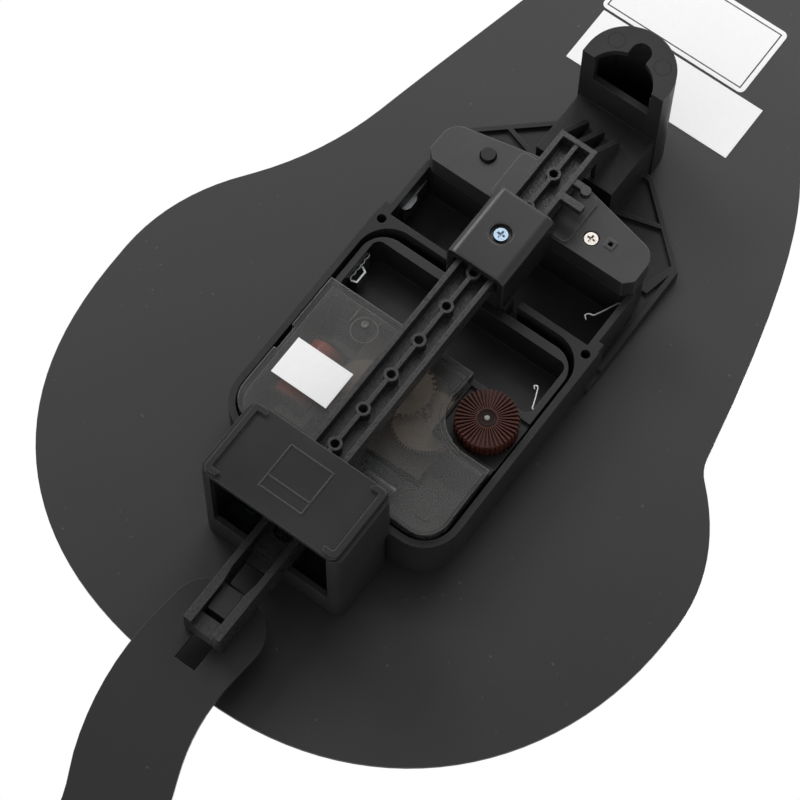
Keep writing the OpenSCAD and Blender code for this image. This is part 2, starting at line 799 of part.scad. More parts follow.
module flange() {
    slab(0, flange_t) difference() {
        flange_outline(0);
        span(-bay_outer + 1, 0, bay_outer - 1, bay_top);
    }
    slab(flange_t, flange_t + flange_rib_h) {
        difference() {
            flange_outline(0);
            flange_outline(flange_rib_w);
            span(-far, 0, far, frame_top + 1);
        }
        for (k = [-1, 1]) {
            polygon([[k * (bay_outer - 0.5), cover_top - 6], [k * (flange_w / 2 - 0.8), flange_shoulder],
                [k * (flange_w / 2 - 0.8 - flange_rib_w), flange_shoulder + 0.6],
                [k * (bay_outer - 3), cover_top - 6]]);
            polygon([[k * block_w / 2, block_bottom + 2], [k * 22, 54.4], [k * 21, 55.2],
                [k * block_w / 2, block_bottom + 2 + flange_rib_w]]);
        }
    }
}

// Walls of the space under the bay cover
module control_walls() {
    slab(0, cover_under) difference() {
        cover_outline(0.6);
        cover_outline(0.6 + cover_wall);
    }
    slab(0, frame_floor) cover_outline(0.6);
    post([peg_x, peg_z], 0, cover_depth + 1, peg_d);
    difference() {
        post([cover_screw_x, cover_screw_z], 0, cover_depth - 3, screw_head_d + 1.6);
        post([cover_screw_x, cover_screw_z], 4, cover_depth, screw_d + 2 * seat_fit);
    }
}

module hanger_block() {
    difference() {
        slab(0, block_depth) span(-block_w / 2, block_bottom, block_w / 2, hanger_bottom + 0.5);
        slab(-1, block_depth - block_wall) span(-block_w / 2 + block_wall, block_bottom + block_wall,
            block_w / 2 - block_wall, hanger_bottom - 0.4);
    }
    for (x = [-1, 0, 1])
        translate([x * (rail_w - buttress_t) / 2 - buttress_t / 2, 0, 0])
            rotate([90, 0, 90]) linear_extrude(buttress_t)
                polygon([[block_depth - 0.5, rail_top + 0.2], [rail_depth - 0.3, rail_top + 0.2],
                    [block_depth + buttress_toe, buttress_end], [block_depth - 0.5, buttress_end]]);
}

module hanger_tower() {
    inner_w = hanger_w - 2 * hanger_wall;
    open_w = 2 * sqrt(keyhole_r ^ 2 - keyhole_drop ^ 2) - 0.5;
    difference() {
        slab(0, wall_gap) arch(hanger_w, hanger_bottom, hanger_arch);
        slab(flange_t, wall_gap - keyhole_t)
            arch(inner_w, hanger_bottom + hanger_wall, hanger_arch);
        slab(sill_depth, wall_gap - keyhole_t)
            span(-open_w / 2, hanger_bottom - 1, open_w / 2, hanger_bottom + hanger_wall + 1);
        slab(wall_gap - keyhole_t - 1, wall_gap + 1) intersection() {
            translate([0, keyhole_z]) circle(keyhole_r);
            span(-hanger_w, hanger_bottom - 1, hanger_w, hanger_bottom + 20);
        }
        slab(wall_gap - keyhole_t - 1, wall_gap + 1)
            span(-notch_d / 2, hanger_bottom, notch_d / 2, notch_top - notch_d / 2);
        post([0, notch_top - notch_d / 2], wall_gap - keyhole_t - 1, wall_gap + 1, notch_d);
    }
}

// Bridge over the battery that the rail is clamped to
module rail_bridge() {
    difference() {
        union() {
            slab(beam_front, rail_front) span(-beam_w / 2, 10.6, beam_w / 2, bay_top + bay_wall);
            slab(frame_depth - 0.5, beam_front + 0.5) {
                span(-beam_w / 2, frame_top - frame_wall, beam_w / 2, frame_top);
                span(-beam_w / 2, bay_top + 0.2, beam_w / 2, bay_top + bay_wall);
            }
        }
        post([0, clamp_mid], beam_front + 1, rail_front + 1, screw_d + 2 * seat_fit);
    }
}

module housing_frame() {
    color(black_plastic) hung() union() {
        frame_walls();
        flange();
        control_walls();
        hanger_block();
        hanger_tower();
        rail_bridge();
    }
}

module bay_cover() {
    gap_w = beam_w + 0.4;
    color(black_plastic) hung() difference() {
        union() {
            slab(cover_under, cover_depth) cover_outline(0);
            slab(cover_depth - 0.1, cover_depth + panel_h)
                soft_span(-panel_w / 2, cover_bottom + 0.2, panel_w / 2, cover_top - 1.2, 1.6);
            slab(cover_depth, cover_depth + 0.3) translate([latch_x, latch_z])
                square(latch_hole * 2.2, center = true);
        }
        slab(cover_under - 1, cover_depth - cover_wall) difference() {
            cover_outline(cover_wall);
            translate([cover_screw_x, cover_screw_z]) circle(screw_head_d / 2 + 2.3);
        }
        slab(cover_under - 1, rail_front)
            span(-gap_w / 2, cover_bottom - 1, gap_w / 2, bay_top + bay_wall + 0.2);
        post([peg_x, peg_z], cover_under - 1, cover_depth + 2, peg_d + 0.6);
        post([cover_screw_x, cover_screw_z], cover_depth - 1, cover_depth + 2, screw_head_d + 0.6);
        post([cover_screw_x, cover_screw_z], cover_under - 1, cover_depth, screw_d + 0.4);
        post([cover_screw_x, cover_screw_z], cover_under - 1, cover_depth - 3,
            screw_head_d + 1.6 + 2 * seat_fit);
        slab(cover_under, cover_depth + 2) translate([latch_x, latch_z])
            square(latch_hole, center = true);
    }
}

module bay_cover_screw() {
    color(steel) hung()
        cross_screw([cover_screw_x, cover_screw_z], cover_depth - 0.1, 0.9, 8);
}

module bay_contact_plate() {
    x0 = bay_len / 2 - 0.4;
    mid = frame_top + bay_w / 2;
    color(steel) hung() {
        slab(frame_floor + 1, frame_floor + 8) span(x0, mid - 2.8, x0 + 0.4, mid + 6.4);
        slab(frame_floor + 3, frame_floor + 7) translate([x0, mid])
            polygon([[0.1, -2.5], [-0.7, -1.2], [-0.7, 1.2], [0.1, 2.5]]);
    }
}

module bay_contact_spring() {
    x0 = -bay_len / 2 + 0.3;
    mid = frame_top + bay_w / 2;
    color(steel) hung() {
        strip([[x0, mid - 6], [x0, mid + 6.2], [x0 + 0.6, mid + 6.7], [x0 + 3.5, mid + 0.8],
            [x0 + 4.6, mid + 0.4], [x0 + 5.1, mid - 0.3], [x0 + 4.4, mid - 1.1]],
            frame_floor + 9, 0.6, 0.5);
        slab(frame_floor + 5, frame_floor + 9.2) span(x0 - 0.25, mid - 6.5, x0 + 0.45, mid - 4);
    }
}

// Side of a bent strip at one of its points, mitred between the two neighbours
function unit(v) = v / norm(v);
function strip_side(p, i, half) = let (last = len(p) - 1,
        a = unit(i == 0 ? p[1] - p[0] : p[i] - p[i - 1]),
        b = i == last ? a : unit(p[i + 1] - p[i]), t = unit(a + b))
    p[i] + [-t[1], t[0]] * half / (t * a);

// Strip of constant thickness bent through the given points, centred on a depth
module strip(points, depth, width, d) {
    last = len(points) - 1;
    slab(depth - width / 2, depth + width / 2)
        polygon(concat([for (i = [0:last]) strip_side(points, i, d / 2)],
            [for (i = [last:-1:0]) strip_side(points, i, -d / 2)]));
}

module slide_rail() {
    low = box_top - rail_tuck;
    mid_rear = rail_depth - 0.3;
    color(black_plastic) hung() difference() {
        union() {
            slab(rail_front, rail_front + rail_web) span(-rail_w / 2, low, rail_w / 2, rail_top);
            slab(rail_front, rail_depth) {
                for (k = [-1, 1])
                    span(k * (rail_w - rail_rib) / 2 - rail_rib / 2, low,
                        k * (rail_w - rail_rib) / 2 + rail_rib / 2, rail_top);
                span(-rail_w / 2, rail_top - rail_rib, rail_w / 2, rail_top);
            }
            slab(rail_front, mid_rear) span(-rail_mid_rib / 2, low, rail_mid_rib / 2, rail_top);
            for (n = [-rail_side:rail_side])
                post([0, n * rail_pitch], rail_front, mid_rear, rail_boss_d);
            slab(rail_depth - 2, rail_depth)
                span(-rail_w / 2 - stop_len, stop_z - 0.9, -rail_w / 2 + 0.5, stop_z + 0.9);
            slab(rail_depth - 2, rail_depth - 0.3) {
                span(-rail_w / 2 - hook_arm_len, hook_arm_z - 0.8, -rail_w / 2 + 0.5,
                    hook_arm_z + 0.8);
                translate([-rail_w / 2 - hook_arm_len - 0.1, hook_arm_z - 0.4]) circle(1.2);
            }
        }
        for (n = [-rail_side:rail_side])
            post([0, n * rail_pitch], rail_front - 1, rail_depth + 1, rail_hole_d);
    }
}

module rail_clamp() {
    rear = rail_depth + clamp_top_t;
    front = rear - clamp_skirt;
    z0 = clamp_mid - clamp_len / 2;
    color(dark_plastic) hung() difference() {
        translate([0, 0, z0]) linear_extrude(clamp_len) {
            for (k = [-1, 1]) translate([k * (clamp_w / 2 - clamp_r), rear - clamp_r]) circle(clamp_r);
            span(-clamp_w / 2, front, clamp_w / 2, rear - clamp_r);
            span(-clamp_w / 2 + clamp_r, front, clamp_w / 2 - clamp_r, rear);
        }
        translate([0, 0, z0 - 1]) linear_extrude(clamp_len + 2)
            span(-clamp_inner, front - 1, clamp_inner, rail_depth);
        post([0, clamp_mid], rear - clamp_recess, rear + 1, clamp_recess_d);
        post([0, clamp_mid], rail_depth - 1, rear + 1, screw_d + 0.4);
    }
}

module clamp_screw() {
    head_front = rail_depth + clamp_top_t - clamp_recess;
    color("#8fb0c8") hung()
        cross_screw([0, clamp_mid], head_front + 0.9, 0.9, head_front - beam_front - 1.6);
}

module drive_box() {
    color(black_plastic) hung() difference() {
        union() {
            slab(box_gap, cap_front_face)
                soft_span(-box_w / 2, box_bottom, box_w / 2, box_step_z, box_r);
            slab(box_step, cap_front_face)
                soft_span(-box_w / 2, box_bottom, box_w / 2, box_top, box_r);
            slab(cap_front_face - 0.1, box_depth - 0.5) difference() {
                soft_span(-box_w / 2, box_bottom, box_w / 2, box_top, box_r);
                cap_outline(-2 * seat_fit);
            }
        }
        slab(coil_floor, box_depth)
            soft_span(-box_w / 2 + box_wall, box_bottom + box_wall, box_w / 2 - box_wall,
                box_ceiling, box_r - box_wall / 2);
        slab(box_step + box_wall, box_depth)
            soft_span(-box_w / 2 + box_wall, box_bottom + box_wall, box_w / 2 - box_wall,
                box_top - box_wall, box_r - box_wall / 2);
        slab(mouth_sill, box_depth)
            span(-mouth_w / 2, box_bottom - 1, mouth_w / 2, box_bottom + box_wall + 1);
        slab(rail_front - seat_fit, box_depth) span(-rail_w / 2 - seat_fit, box_top - box_wall - 1,
            rail_w / 2 + seat_fit, box_top + 1);
    }
    color(black_plastic) hung() difference() {
        slab(coil_floor - 0.1, fork_front - 0.4) translate([0, pivot_z]) circle(hub_d / 2);
        post([0, pivot_z], coil_floor, fork_front, pivot_d + 2 * seat_fit);
    }
}

module drive_box_cap() {
    end = box_w / 2 - cap_inset - 0.15;
    color(dark_plastic) hung() difference() {
        union() {
            slab(cap_front_face, box_depth) cap_outline(0);
            slab(rail_depth + 0.3, cap_front_face + 0.1)
                span(-3, box_top - 7, 3, box_top - 2.2);
            slab(fork_rear + 0.4, rail_front - 0.3) translate([0, pivot_z]) circle(hub_d / 2);
            slab(rail_front - 1, cap_front_face + 0.1) for (k = [-1, 1])
                span(k * (rail_w / 2 + 1) - 0.7, pivot_z - 2, k * (rail_w / 2 + 1) + 0.7, box_top - 2);
            slab(rail_front - 1.4, rail_front - 0.3)
                span(-rail_w / 2 - 1.7, pivot_z - 2, rail_w / 2 + 1.7, box_top - 2);
            slab(box_depth - 0.1, box_depth + ridge_h) for (k = [-1, 1])
                ridge(k, end);
            slab(box_depth - 0.1, box_depth + 0.25) badge_frame();
        }
        post([0, pivot_z], fork_rear - 1, rail_front - 0.9, pivot_d + 2 * seat_fit);
    }
}

// Outline of the cap, which fits between the box's end walls
module cap_outline(inset) {
    soft_span(-box_w / 2 + cap_inset + inset, box_bottom + inset, box_w / 2 - cap_inset - inset,
        box_top - inset, box_r - 0.4);
}

// Raised ridge with two short returns on one end of the cap
module ridge(k, end) {
    z0 = box_bottom + 0.5;
    z1 = box_top - 0.5;
    x0 = k > 0 ? end - ridge_return : -end;
    x1 = k > 0 ? end : -end + ridge_return;
    difference() {
        soft_span(x0, z0, x1, z1, 1.1);
        soft_span(x0 - (k > 0 ? 2 : -ridge_w), z0 + ridge_w, x1 - (k > 0 ? ridge_w : -2),
            z1 - ridge_w, 0.5);
    }
}

// Thin frame round a blank panel
module badge_frame() {
    z1 = box_mid + badge_h / 2 + 0.4;
    z0 = z1 - badge_h;
    difference() {
        span(-badge_w / 2, z0, badge_w / 2, z1);
        span(-badge_w / 2 + 0.35, z0 + badge_strip, badge_w / 2 - 0.35, z1 - 0.35);
        span(-badge_w / 2 + 0.35, z0 + 0.35, badge_w / 2 - 0.35, z0 + badge_strip - 0.35);
    }
}

coil_at = [0, magnet_z];

module drive_bobbin() {
    color(paper) hung() difference() {
        union() {
            post(coil_at, coil_floor, coil_floor + 0.7, drive_coil_d + 0.8);
            post(coil_at, coil_floor, mouth_sill - 0.3, drive_core_d);
            post(coil_at, mouth_sill - 1, mouth_sill - 0.3, drive_coil_d + 0.8);
        }
        post(coil_at, coil_floor + 1, mouth_sill + 1, drive_core_d - 1.6);
    }
}

module drive_winding() {
    color(copper) hung() difference() {
        post(coil_at, coil_floor + 0.7, mouth_sill - 1, drive_coil_d);
        post(coil_at, coil_floor, mouth_sill, drive_core_d);
    }
}

module drive_circuit_board() {
    x0 = 8;
    x1 = box_w / 2 - box_wall - 0.6;
    color("#20603c") hung() {
        slab(coil_floor, coil_floor + 1.2) span(x0, box_bottom + 3, x1, box_top - 3);
        slab(coil_floor + 1.1, coil_floor + 2.2)
            soft_span(x0 + 2, box_mid - 2.5, x0 + 6.4, box_mid + 2.5, 1.4);
    }
}

module pivot_pin() {
    color(steel) hung() post([0, pivot_z], coil_floor + 0.2, rail_front - 1.1, pivot_d);
}

// One leg of the pendulum arm, k gives its side
module leg(k) {
    out = fork_w / 2;
    polygon([[k * (hub_d / 2 - 0.4), pivot_z + 1.2], [k * out, pivot_z - 3], [k * out, fork_bottom],
        [k * (out - foot_w), fork_bottom], [k * (out - foot_w), flare_z - 4],
        [k * (out - leg_w), flare_z], [k * (out - leg_w), pivot_z - 3.4],
        [k * (hub_d / 2 - 0.9), pivot_z - 0.6]]);
}

web_step_z = magnet_z - 7.2;
web_bottom = magnet_z - 10.2;

module pendulum_arm() {
    inner = fork_w / 2 - leg_w;
    foot = fork_w / 2 - foot_w;
    color(black_plastic) hung() difference() {
        union() {
            slab(fork_front, fork_rear) {
                leg(1);
                leg(-1);
                translate([0, pivot_z]) circle(hub_d / 2);
            }
            slab(fork_front, fork_front + magnet_t + 0.6) difference() {
                span(-inner - 0.1, web_step_z, inner + 0.1, magnet_z + 4);
                translate(coil_at) circle(magnet_d / 2 + seat_fit);
            }
            slab(fork_front, fork_front + 1.6)
                span(-inner - 0.1, web_bottom, inner + 0.1, web_step_z + 0.1);
            slab(fork_front, fork_rear - 2.6) span(-foot - 0.1, hook_z, foot + 0.1, hook_z + 5.6);
            slab(fork_front + 0.6, fork_rear - 2.6)
                span(-foot - 0.1, fork_bottom, foot + 0.1, hook_z - 2.4);
        }
        post([0, pivot_z], fork_front - 1, fork_rear + 1, pivot_d + 2 * run_fit);
    }
}

module pendulum_magnet() {
    color(steel) hung() post(coil_at, fork_front, fork_front + magnet_t, magnet_d);
}

// Centre line of the tail: a straight that leans to one side about the hook, then a bend
// across to the other side, then a longer bend back
bend_1_len = bend_1_r * bend_1_a * PI / 180;
bend_2_len = bend_2_r * bend_2_a * PI / 180;
tail_len = tail_straight + bend_1_len + bend_2_len;
bend_1_turn = bend_1_a - tail_lean;
function turn(s) = s < tail_straight ? -tail_lean
    : s < tail_straight + bend_1_len ? (s - tail_straight) / bend_1_r * 180 / PI - tail_lean
    : bend_1_turn - (s - tail_straight - bend_1_len) / bend_2_r * 180 / PI;
tail_start = [-tail_rise * tan(tail_lean), tail_top];
bend_1_start = tail_start + tail_straight * [sin(tail_lean), -cos(tail_lean)];
bend_1_end = bend_1_start
    + bend_1_r * [cos(bend_1_turn) - cos(tail_lean), -sin(bend_1_turn) - sin(tail_lean)];
function spine(s) = s < tail_straight ? tail_start + s * [sin(tail_lean), -cos(tail_lean)]
    : s < tail_straight + bend_1_len
    ? bend_1_start + bend_1_r * [cos(turn(s)) - cos(tail_lean), -sin(turn(s)) - sin(tail_lean)]
    : bend_1_end + bend_2_r * [cos(bend_1_turn) - cos(turn(s)), sin(turn(s)) - sin(bend_1_turn)];
function tail_half(s) = let (r = tail_top_r, q = max(0, 1 - s / r), p = (s - 0.35 * tail_len) / tail_len)
    tail_w / 2 - r * (1 - sqrt(max(0, 1 - q * q))) - max(0, p) * (tail_w - tail_tip_w) / 1.3;
tail_end_half = tail_half(tail_len);
function tail_side(s, k) = spine(s) + k * tail_half(s) * [cos(turn(s)), -sin(turn(s))];

module tail_outline() {
    head = [for (i = [0:8]) tail_top_r * (1 - cos(i * 11.25))];
    rest = [for (i = [1:34]) tail_top_r + (tail_len - tail_top_r) * i / 34];
    stations = concat(head, rest);
    n = len(stations);
    tip_dir = -turn(tail_len) - 90;
    polygon(concat([for (i = [0:n - 1]) tail_side(stations[i], 1)],
        [for (i = [1:15]) spine(tail_len) + tail_end_half
            * [cos(tip_dir + 90 - 180 * i / 16), sin(tip_dir + 90 - 180 * i / 16)]],
        [for (i = [n - 1:-1:0]) tail_side(stations[i], -1)]));
}

module tail_plate() {
    riser = hook_z - 0.2;
    tab_front = fork_rear - 2.6 + 0.1;
    color(sheet_black) hung() {
        slab(tail_front, tail_front + tail_t) difference() {
            tail_outline();
            span(-tab_w / 2 - 0.4, riser - tail_t - window_len, tab_w / 2 + 0.4, riser - tail_t);
        }
        slab(tail_front, tab_front + tail_t) span(-tab_w / 2, riser - tail_t, tab_w / 2, riser);
        slab(tab_front, tab_front + tail_t) union() {
            span(-tab_w / 2, riser - 0.5, tab_w / 2, riser - 1 + tab_len - 1);
            soft_span(-tab_w / 2, riser + 1, tab_w / 2, riser - 1 + tab_len, 1);
        }
    }
}

module movement_outline(inset) {
    soft_span(-move_w / 2 + inset, move_bottom + inset, move_w / 2 - inset, move_top - inset,
        case_r - inset * 0.8);
}

// Room left in the rear of the case for the setting knob, seen from the front
knob_room_x = knob_x + knob_d / 2 + 1.6;
knob_room_z = knob_z - knob_d / 2 - 1;

module movement_case() {
    in_x = move_w / 2 - case_wall;
    color(dark_plastic) hung() difference() {
        slab(case_front, case_depth) movement_outline(0);
        slab(floor_top, case_depth + 1) soft_span(-in_x, divide_z, in_x, cell_top, 2);
        slab(floor_top, deck_rear - deck_t)
            soft_span(-in_x, move_bottom + case_wall, in_x, divide_z - case_wall, 3);
        slab(deck_rear - deck_t - 1, case_depth + 1) difference() {
            soft_span(-in_x, move_bottom + case_wall, in_x, divide_z - case_wall, 3);
            span(-in_x - 1, knob_room_z, knob_room_x, divide_z);
        }
        slab(deck_rear, case_depth + 1) span(-in_x - 4, knob_room_z + 0.6, knob_room_x - 0.6,
            divide_z - case_wall);
        post(knob, deck_rear, case_depth + 1, knob_d + 0.8);
        post(shaft, 0, floor_top + 1, bush_d - 1.4 + 2 * seat_fit);
        post(shaft, 0, case_front + 0.5, bush_d + 2 * seat_fit);
        post(knob, 0, floor_top + 1, pin_d + 2 * run_fit);
        post(knob, deck_rear - deck_t - 1, deck_rear + 1, knob_stem_d + 2 * run_fit);
    }
    color(dark_plastic) hung() {
        post(motion, floor_top - 0.1, bridge_level, pin_d);
        for (p = bridge_posts) post(p, floor_top - 0.1, bridge_level, 2.4);
        for (p = board_posts) post(p, floor_top - 0.1, centre_level - 0.2, 2.4);
    }
}

// Edges of the middle plate and places of the posts that it rests on
bridge_left = motion[0] - 4.6;
bridge_right = rotor_at[0] + 5.3;
bridge_low = rotor_at[1] - 3.9;
bridge_high = divide_z - case_wall - 0.4;
bridge_posts = [[bridge_left + 1.6, bridge_low + 2.9], [bridge_right - 1.6, bridge_high - 1.2],
    [bridge_right - 1.6, bridge_low + 1.6], [motion[0] + 4.4, bridge_high + 0.2]];

// Corner of the clock's circuit board and places of its posts
board_left = -(move_w / 2 - case_wall - 1);
board_low = move_bottom + case_wall + 1;
board_posts = [[board_left + 3, board_low + 3], [board_left + board_w - 1.8, board_low + 3]];

// Outline of the works' clear cover, which leaves the setting knob free
module lens_outline(inset) {
    difference() {
        intersection() {
            movement_outline(inset);
            span(-far, -far, far, divide_z - inset);
        }
        span(-far, knob_z - 1, knob_room_x + inset, far);
        span(-far, knob_room_z - 1.2 - inset, knob_x + 1, far);
        translate(knob) circle(knob_d / 2 + 2 + inset);
    }
}

module movement_cover() {
    color([0.35, 0.36, 0.38, 0.45]) hung() {
        difference() {
            slab(case_depth, move_depth) lens_outline(0);
            slab(case_depth - 1, lens_inside) lens_outline(lens_wall);
            for (z = [shaft_z - 7.5, shaft_z - 4.3]) slab(case_depth - 1, move_depth + 1)
                span(move_w / 2 - 0.8, z - 3.3, move_w / 2 + 1, z);
        }
        for (p = [third, fifth, shaft, rotor_at]) difference() {
            post(p, lens_inside - 1.2, lens_inside + 0.1, 2.6);
            post(p, lens_inside - 2, lens_inside - 0.3, pin_d + 2 * run_fit);
        }
    }
}

module cell_contact_plate() {
    x0 = move_w / 2 - case_wall - 0.35;
    mid = (divide_z + cell_top) / 2;
    color(steel) hung() {
        strip([for (i = [0:9]) [x0 - 0.1 + 0.3 * (i % 2), mid - 3.2 + 0.85 * i]],
            floor_top + 5, 5, 0.25);
        strip([[x0, mid - 3], [x0 - 1.4, mid - 2.5], [x0 - 1.4, mid + 0.6], [x0, mid + 1.3]],
            floor_top + 5, 3.2, 0.45);
    }
}

module cell_contact_spring() {
    x0 = -move_w / 2 + case_wall + 0.3;
    mid = (divide_z + cell_top) / 2;
    color(steel) hung() {
        strip([[x0, mid + 4.6], [x0, mid - 4], [x0 + 0.5, mid - 4.6], [x0 + 2.4, mid + 0.1],
            [x0 + 2.8, mid + 0.6], [x0 + 3.4, mid + 0.3], [x0 + 2.9, mid - 0.4]],
            floor_top + 7.3, 0.6, 0.4);
        slab(floor_top + 4.5, floor_top + 7.5) span(x0 - 0.25, mid + 3.5, x0 + 0.45, mid + 5.4);
    }
}

module middle_plate() {
    color(paper) hung() difference() {
        slab(bridge_level, bridge_level + bridge_t)
            polygon([[bridge_left, bridge_low + 1.2], [bridge_right, bridge_low],
                [bridge_right, bridge_high], [motion[0] + 3.8, bridge_high],
                [motion[0] - 0.4, motion[1] + 3.4], [bridge_left, motion[1]]]);
        post(shaft, bridge_level - 1, bridge_level + 2, arbor_d + 2 * run_fit);
        for (p = [third, fifth, rotor_at])
            post(p, bridge_level - 1, bridge_level + 2, pin_d + 2 * run_fit);
    }
}

module clock_circuit_board() {
    color("#20603c") hung() {
        slab(centre_level - 0.2, centre_level + 0.8) union() {
            span(board_left, board_low, board_left + board_w, board_low + board_h);
            span(board_left, board_low, board_left + board_h, board_low + board_h + 4);
        }
        slab(centre_level + 0.7, centre_level + 1.8)
            soft_span(board_left + 2.4, board_low + 3.4, board_left + 7.4, board_low + 8.4, 2);
    }
}

module quartz_crystal() {
    color(steel) hung()
        translate([board_left + 12, centre_level + 2.35, board_low + 4.5]) rotate([0, 90, 0])
        cylinder(h = 8, d = 3);
}

core_level = centre_level + 1.9;
core_t = 1;
core_ends = [coil_z - coil_len / 2 - 3.4, coil_z + coil_len / 2 + 3.4];
flange_h = 0.8;

module clock_bobbin() {
    y = core_level + core_t / 2;
    color(paper) hung() difference() {
        union() {
            for (k = [-1, 1]) translate([coil_x, y, coil_z + k * (coil_len / 2 + flange_h / 2)
                - flange_h / 2]) cylinder(h = flange_h, d = coil_d + 0.4);
            translate([coil_x, y, coil_z - coil_len / 2 - flange_h / 2])
                cylinder(h = coil_len + flange_h, d = coil_core_d);
        }
        translate([coil_x - 1.25, core_level - 0.05, core_ends[0]])
            cube([2.5, core_t + 0.1, core_ends[1] - core_ends[0]]);
    }
}

module clock_winding() {
    y = core_level + core_t / 2;
    color(copper) hung() translate([coil_x, y, coil_z - coil_len / 2]) difference() {
        cylinder(h = coil_len, d = coil_d);
        translate([0, 0, -1]) cylinder(h = coil_len + 2, d = coil_core_d);
    }
}

module stator() {
    column_x = coil_x - coil_d / 2 - 2.2;
    color("#8a8d92") hung() {
        slab(core_level, core_level + core_t) difference() {
            union() {
                span(coil_x - 1.2, core_ends[0], coil_x + 1.2, core_ends[1]);
                span(column_x, core_ends[0], coil_x + 1.2, core_ends[0] + 2.2);
                span(column_x, core_ends[1] - 2.2, coil_x + 1.2, core_ends[1]);
                span(column_x, core_ends[0], column_x + 1.5, core_ends[1]);
                span(rotor_at[0] - 4.1, rotor_at[1] - 4.1, max(column_x + 1, rotor_at[0] + 4.1),
                    rotor_at[1] + 4.1);
            }
            translate(rotor_at) circle(3.1);
        }
        post([column_x + 1.1, rotor_at[1] - 2.5], bridge_level + bridge_t, core_level + 0.1, 1.6);
    }
}

arbor_top = lens_inside - 0.4;

module rotor() {
    color(steel) hung() {
        post(rotor_at, bridge_level + 0.1, arbor_top, pin_d);
        post(rotor_at, core_level - 0.8, core_level + core_t + 0.7, 5.2);
    }
    color(paper) hung()
        gear(rotor_at, rotor_pinion, fifth_mod, rotor_phase, fifth_level - 0.1, wheel_t + 0.3);
}

// Angles that bring every gear into mesh
arbor_phase = motion_dir;
motion_phase = mesh_phase(arbor_teeth, arbor_phase, motion_teeth, motion_dir);
motion_pinion_phase = motion_phase;
hour_phase = mesh_phase(motion_pinion, motion_pinion_phase, hour_teeth, motion_dir + 180);
knob_phase = mesh_phase(motion_teeth, motion_phase, knob_teeth, knob_from_motion);
centre_phase = 0;
third_phase = mesh_phase(centre_teeth, centre_phase, third_pinion, 200);
fourth_pinion_phase = mesh_phase(third_teeth, third_phase, fourth_pinion, 20);
fifth_phase = mesh_phase(fourth_teeth, fourth_pinion_phase, fifth_pinion, fifth_dir);
rotor_phase = mesh_phase(fifth_teeth, fifth_phase, rotor_pinion, rotor_dir);

module fifth_wheel() {
    color(paper) hung() {
        post(fifth, bridge_level + 0.1, arbor_top, pin_d);
        gear(fifth, fifth_pinion, fourth_mod, fifth_phase, fourth_level - 0.1, wheel_t + 0.5);
        gear(fifth, fifth_teeth, fifth_mod, fifth_phase, fifth_level, wheel_t);
    }
}

module fourth_wheel() {
    color(paper) hung() {
        post(shaft, 0, arbor_top, pin_d);
        gear(shaft, fourth_pinion, third_mod, fourth_pinion_phase, third_level - 0.1, wheel_t + 0.6);
        gear(shaft, fourth_teeth, fourth_mod, fourth_pinion_phase, fourth_level, wheel_t);
    }
}

module third_wheel() {
    color(paper) hung() {
        post(third, bridge_level + 0.1, arbor_top, pin_d);
        gear(third, third_pinion, centre_mod, third_phase, centre_level - 0.1, wheel_t + 0.4);
        gear(third, third_teeth, third_mod, third_phase, third_level, wheel_t);
    }
}

module centre_wheel() {
    color(brass) hung() difference() {
        gear(shaft, centre_teeth, centre_mod, centre_phase, centre_level, wheel_t);
        post(shaft, centre_level - 1, centre_level + 2, arbor_d + 2 * run_fit);
    }
}

module minute_arbor() {
    color(steel) hung() difference() {
        union() {
            post(shaft, arbor_front, centre_level + wheel_t + 0.2, arbor_d);
            gear(shaft, arbor_teeth, motion_mod, arbor_phase, motion_level - 0.1, wheel_t + 0.3);
        }
        post(shaft, arbor_front + 1, centre_level + 3, pin_d + 2 * run_fit);
    }
}

module motion_wheel() {
    color(paper) hung() difference() {
        union() {
            gear(motion, motion_pinion, hour_mod, motion_pinion_phase, hour_level - 0.1,
                motion_level - hour_level + 0.2);
            gear(motion, motion_teeth, motion_mod, motion_phase, motion_level, wheel_t);
        }
        post(motion, 0, bridge_level, pin_d + 2 * run_fit);
    }
}

module hour_wheel() {
    color(paper) hung() difference() {
        union() {
            gear(shaft, hour_teeth, hour_mod, hour_phase, hour_level, wheel_t);
            post(shaft, pipe_front, hour_level + wheel_t + 0.3, pipe_d);
        }
        post(shaft, pipe_front - 1, motion_level, arbor_d + 2 * run_fit);
    }
}

function knob_star(n, r0, r1) = [for (i = [0:n - 1], k = [0:3])
    let (a = (i + [-0.28, -0.2, 0.2, 0.28][k]) * 360 / n, r = k == 0 || k == 3 ? r0 : r1)
    r * [cos(a), sin(a)]];

module setting_knob() {
    rib_h = 0.8;
    color("#4a2a22") hung() {
        slab(deck_rear + 0.5, knob_depth - rib_h) translate(knob)
            polygon(knob_star(knob_ribs, knob_d / 2 - 0.35, knob_d / 2));
        slab(knob_depth - rib_h - 0.1, knob_depth) translate(knob)
            polygon(knob_star(knob_ribs, 2.4, knob_d / 2 - 0.2));
        post(knob, motion_level, deck_rear + 0.6, knob_stem_d);
        post(knob, case_front + 0.3, motion_level + 0.1, pin_d);
        gear(knob, knob_teeth, motion_mod, knob_phase, motion_level - 0.1, wheel_t + 0.2);
    }
}

module shaft_bush() {
    color(brass) hung() difference() {
        union() {
            post(shaft, bush_front, case_front + 0.5, bush_d);
            post(shaft, case_front + 0.4, floor_top, bush_d - 1.4);
        }
        post(shaft, bush_front - 1, floor_top + 1, pipe_d + 2 * run_fit);
    }
}

module bush_washer() {
    color(brass) hung() difference() {
        post(shaft, washer_front, -plate_t, bush_d + 6);
        post(shaft, washer_front - 1, 0, bush_d + 2 * seat_fit);
    }
}

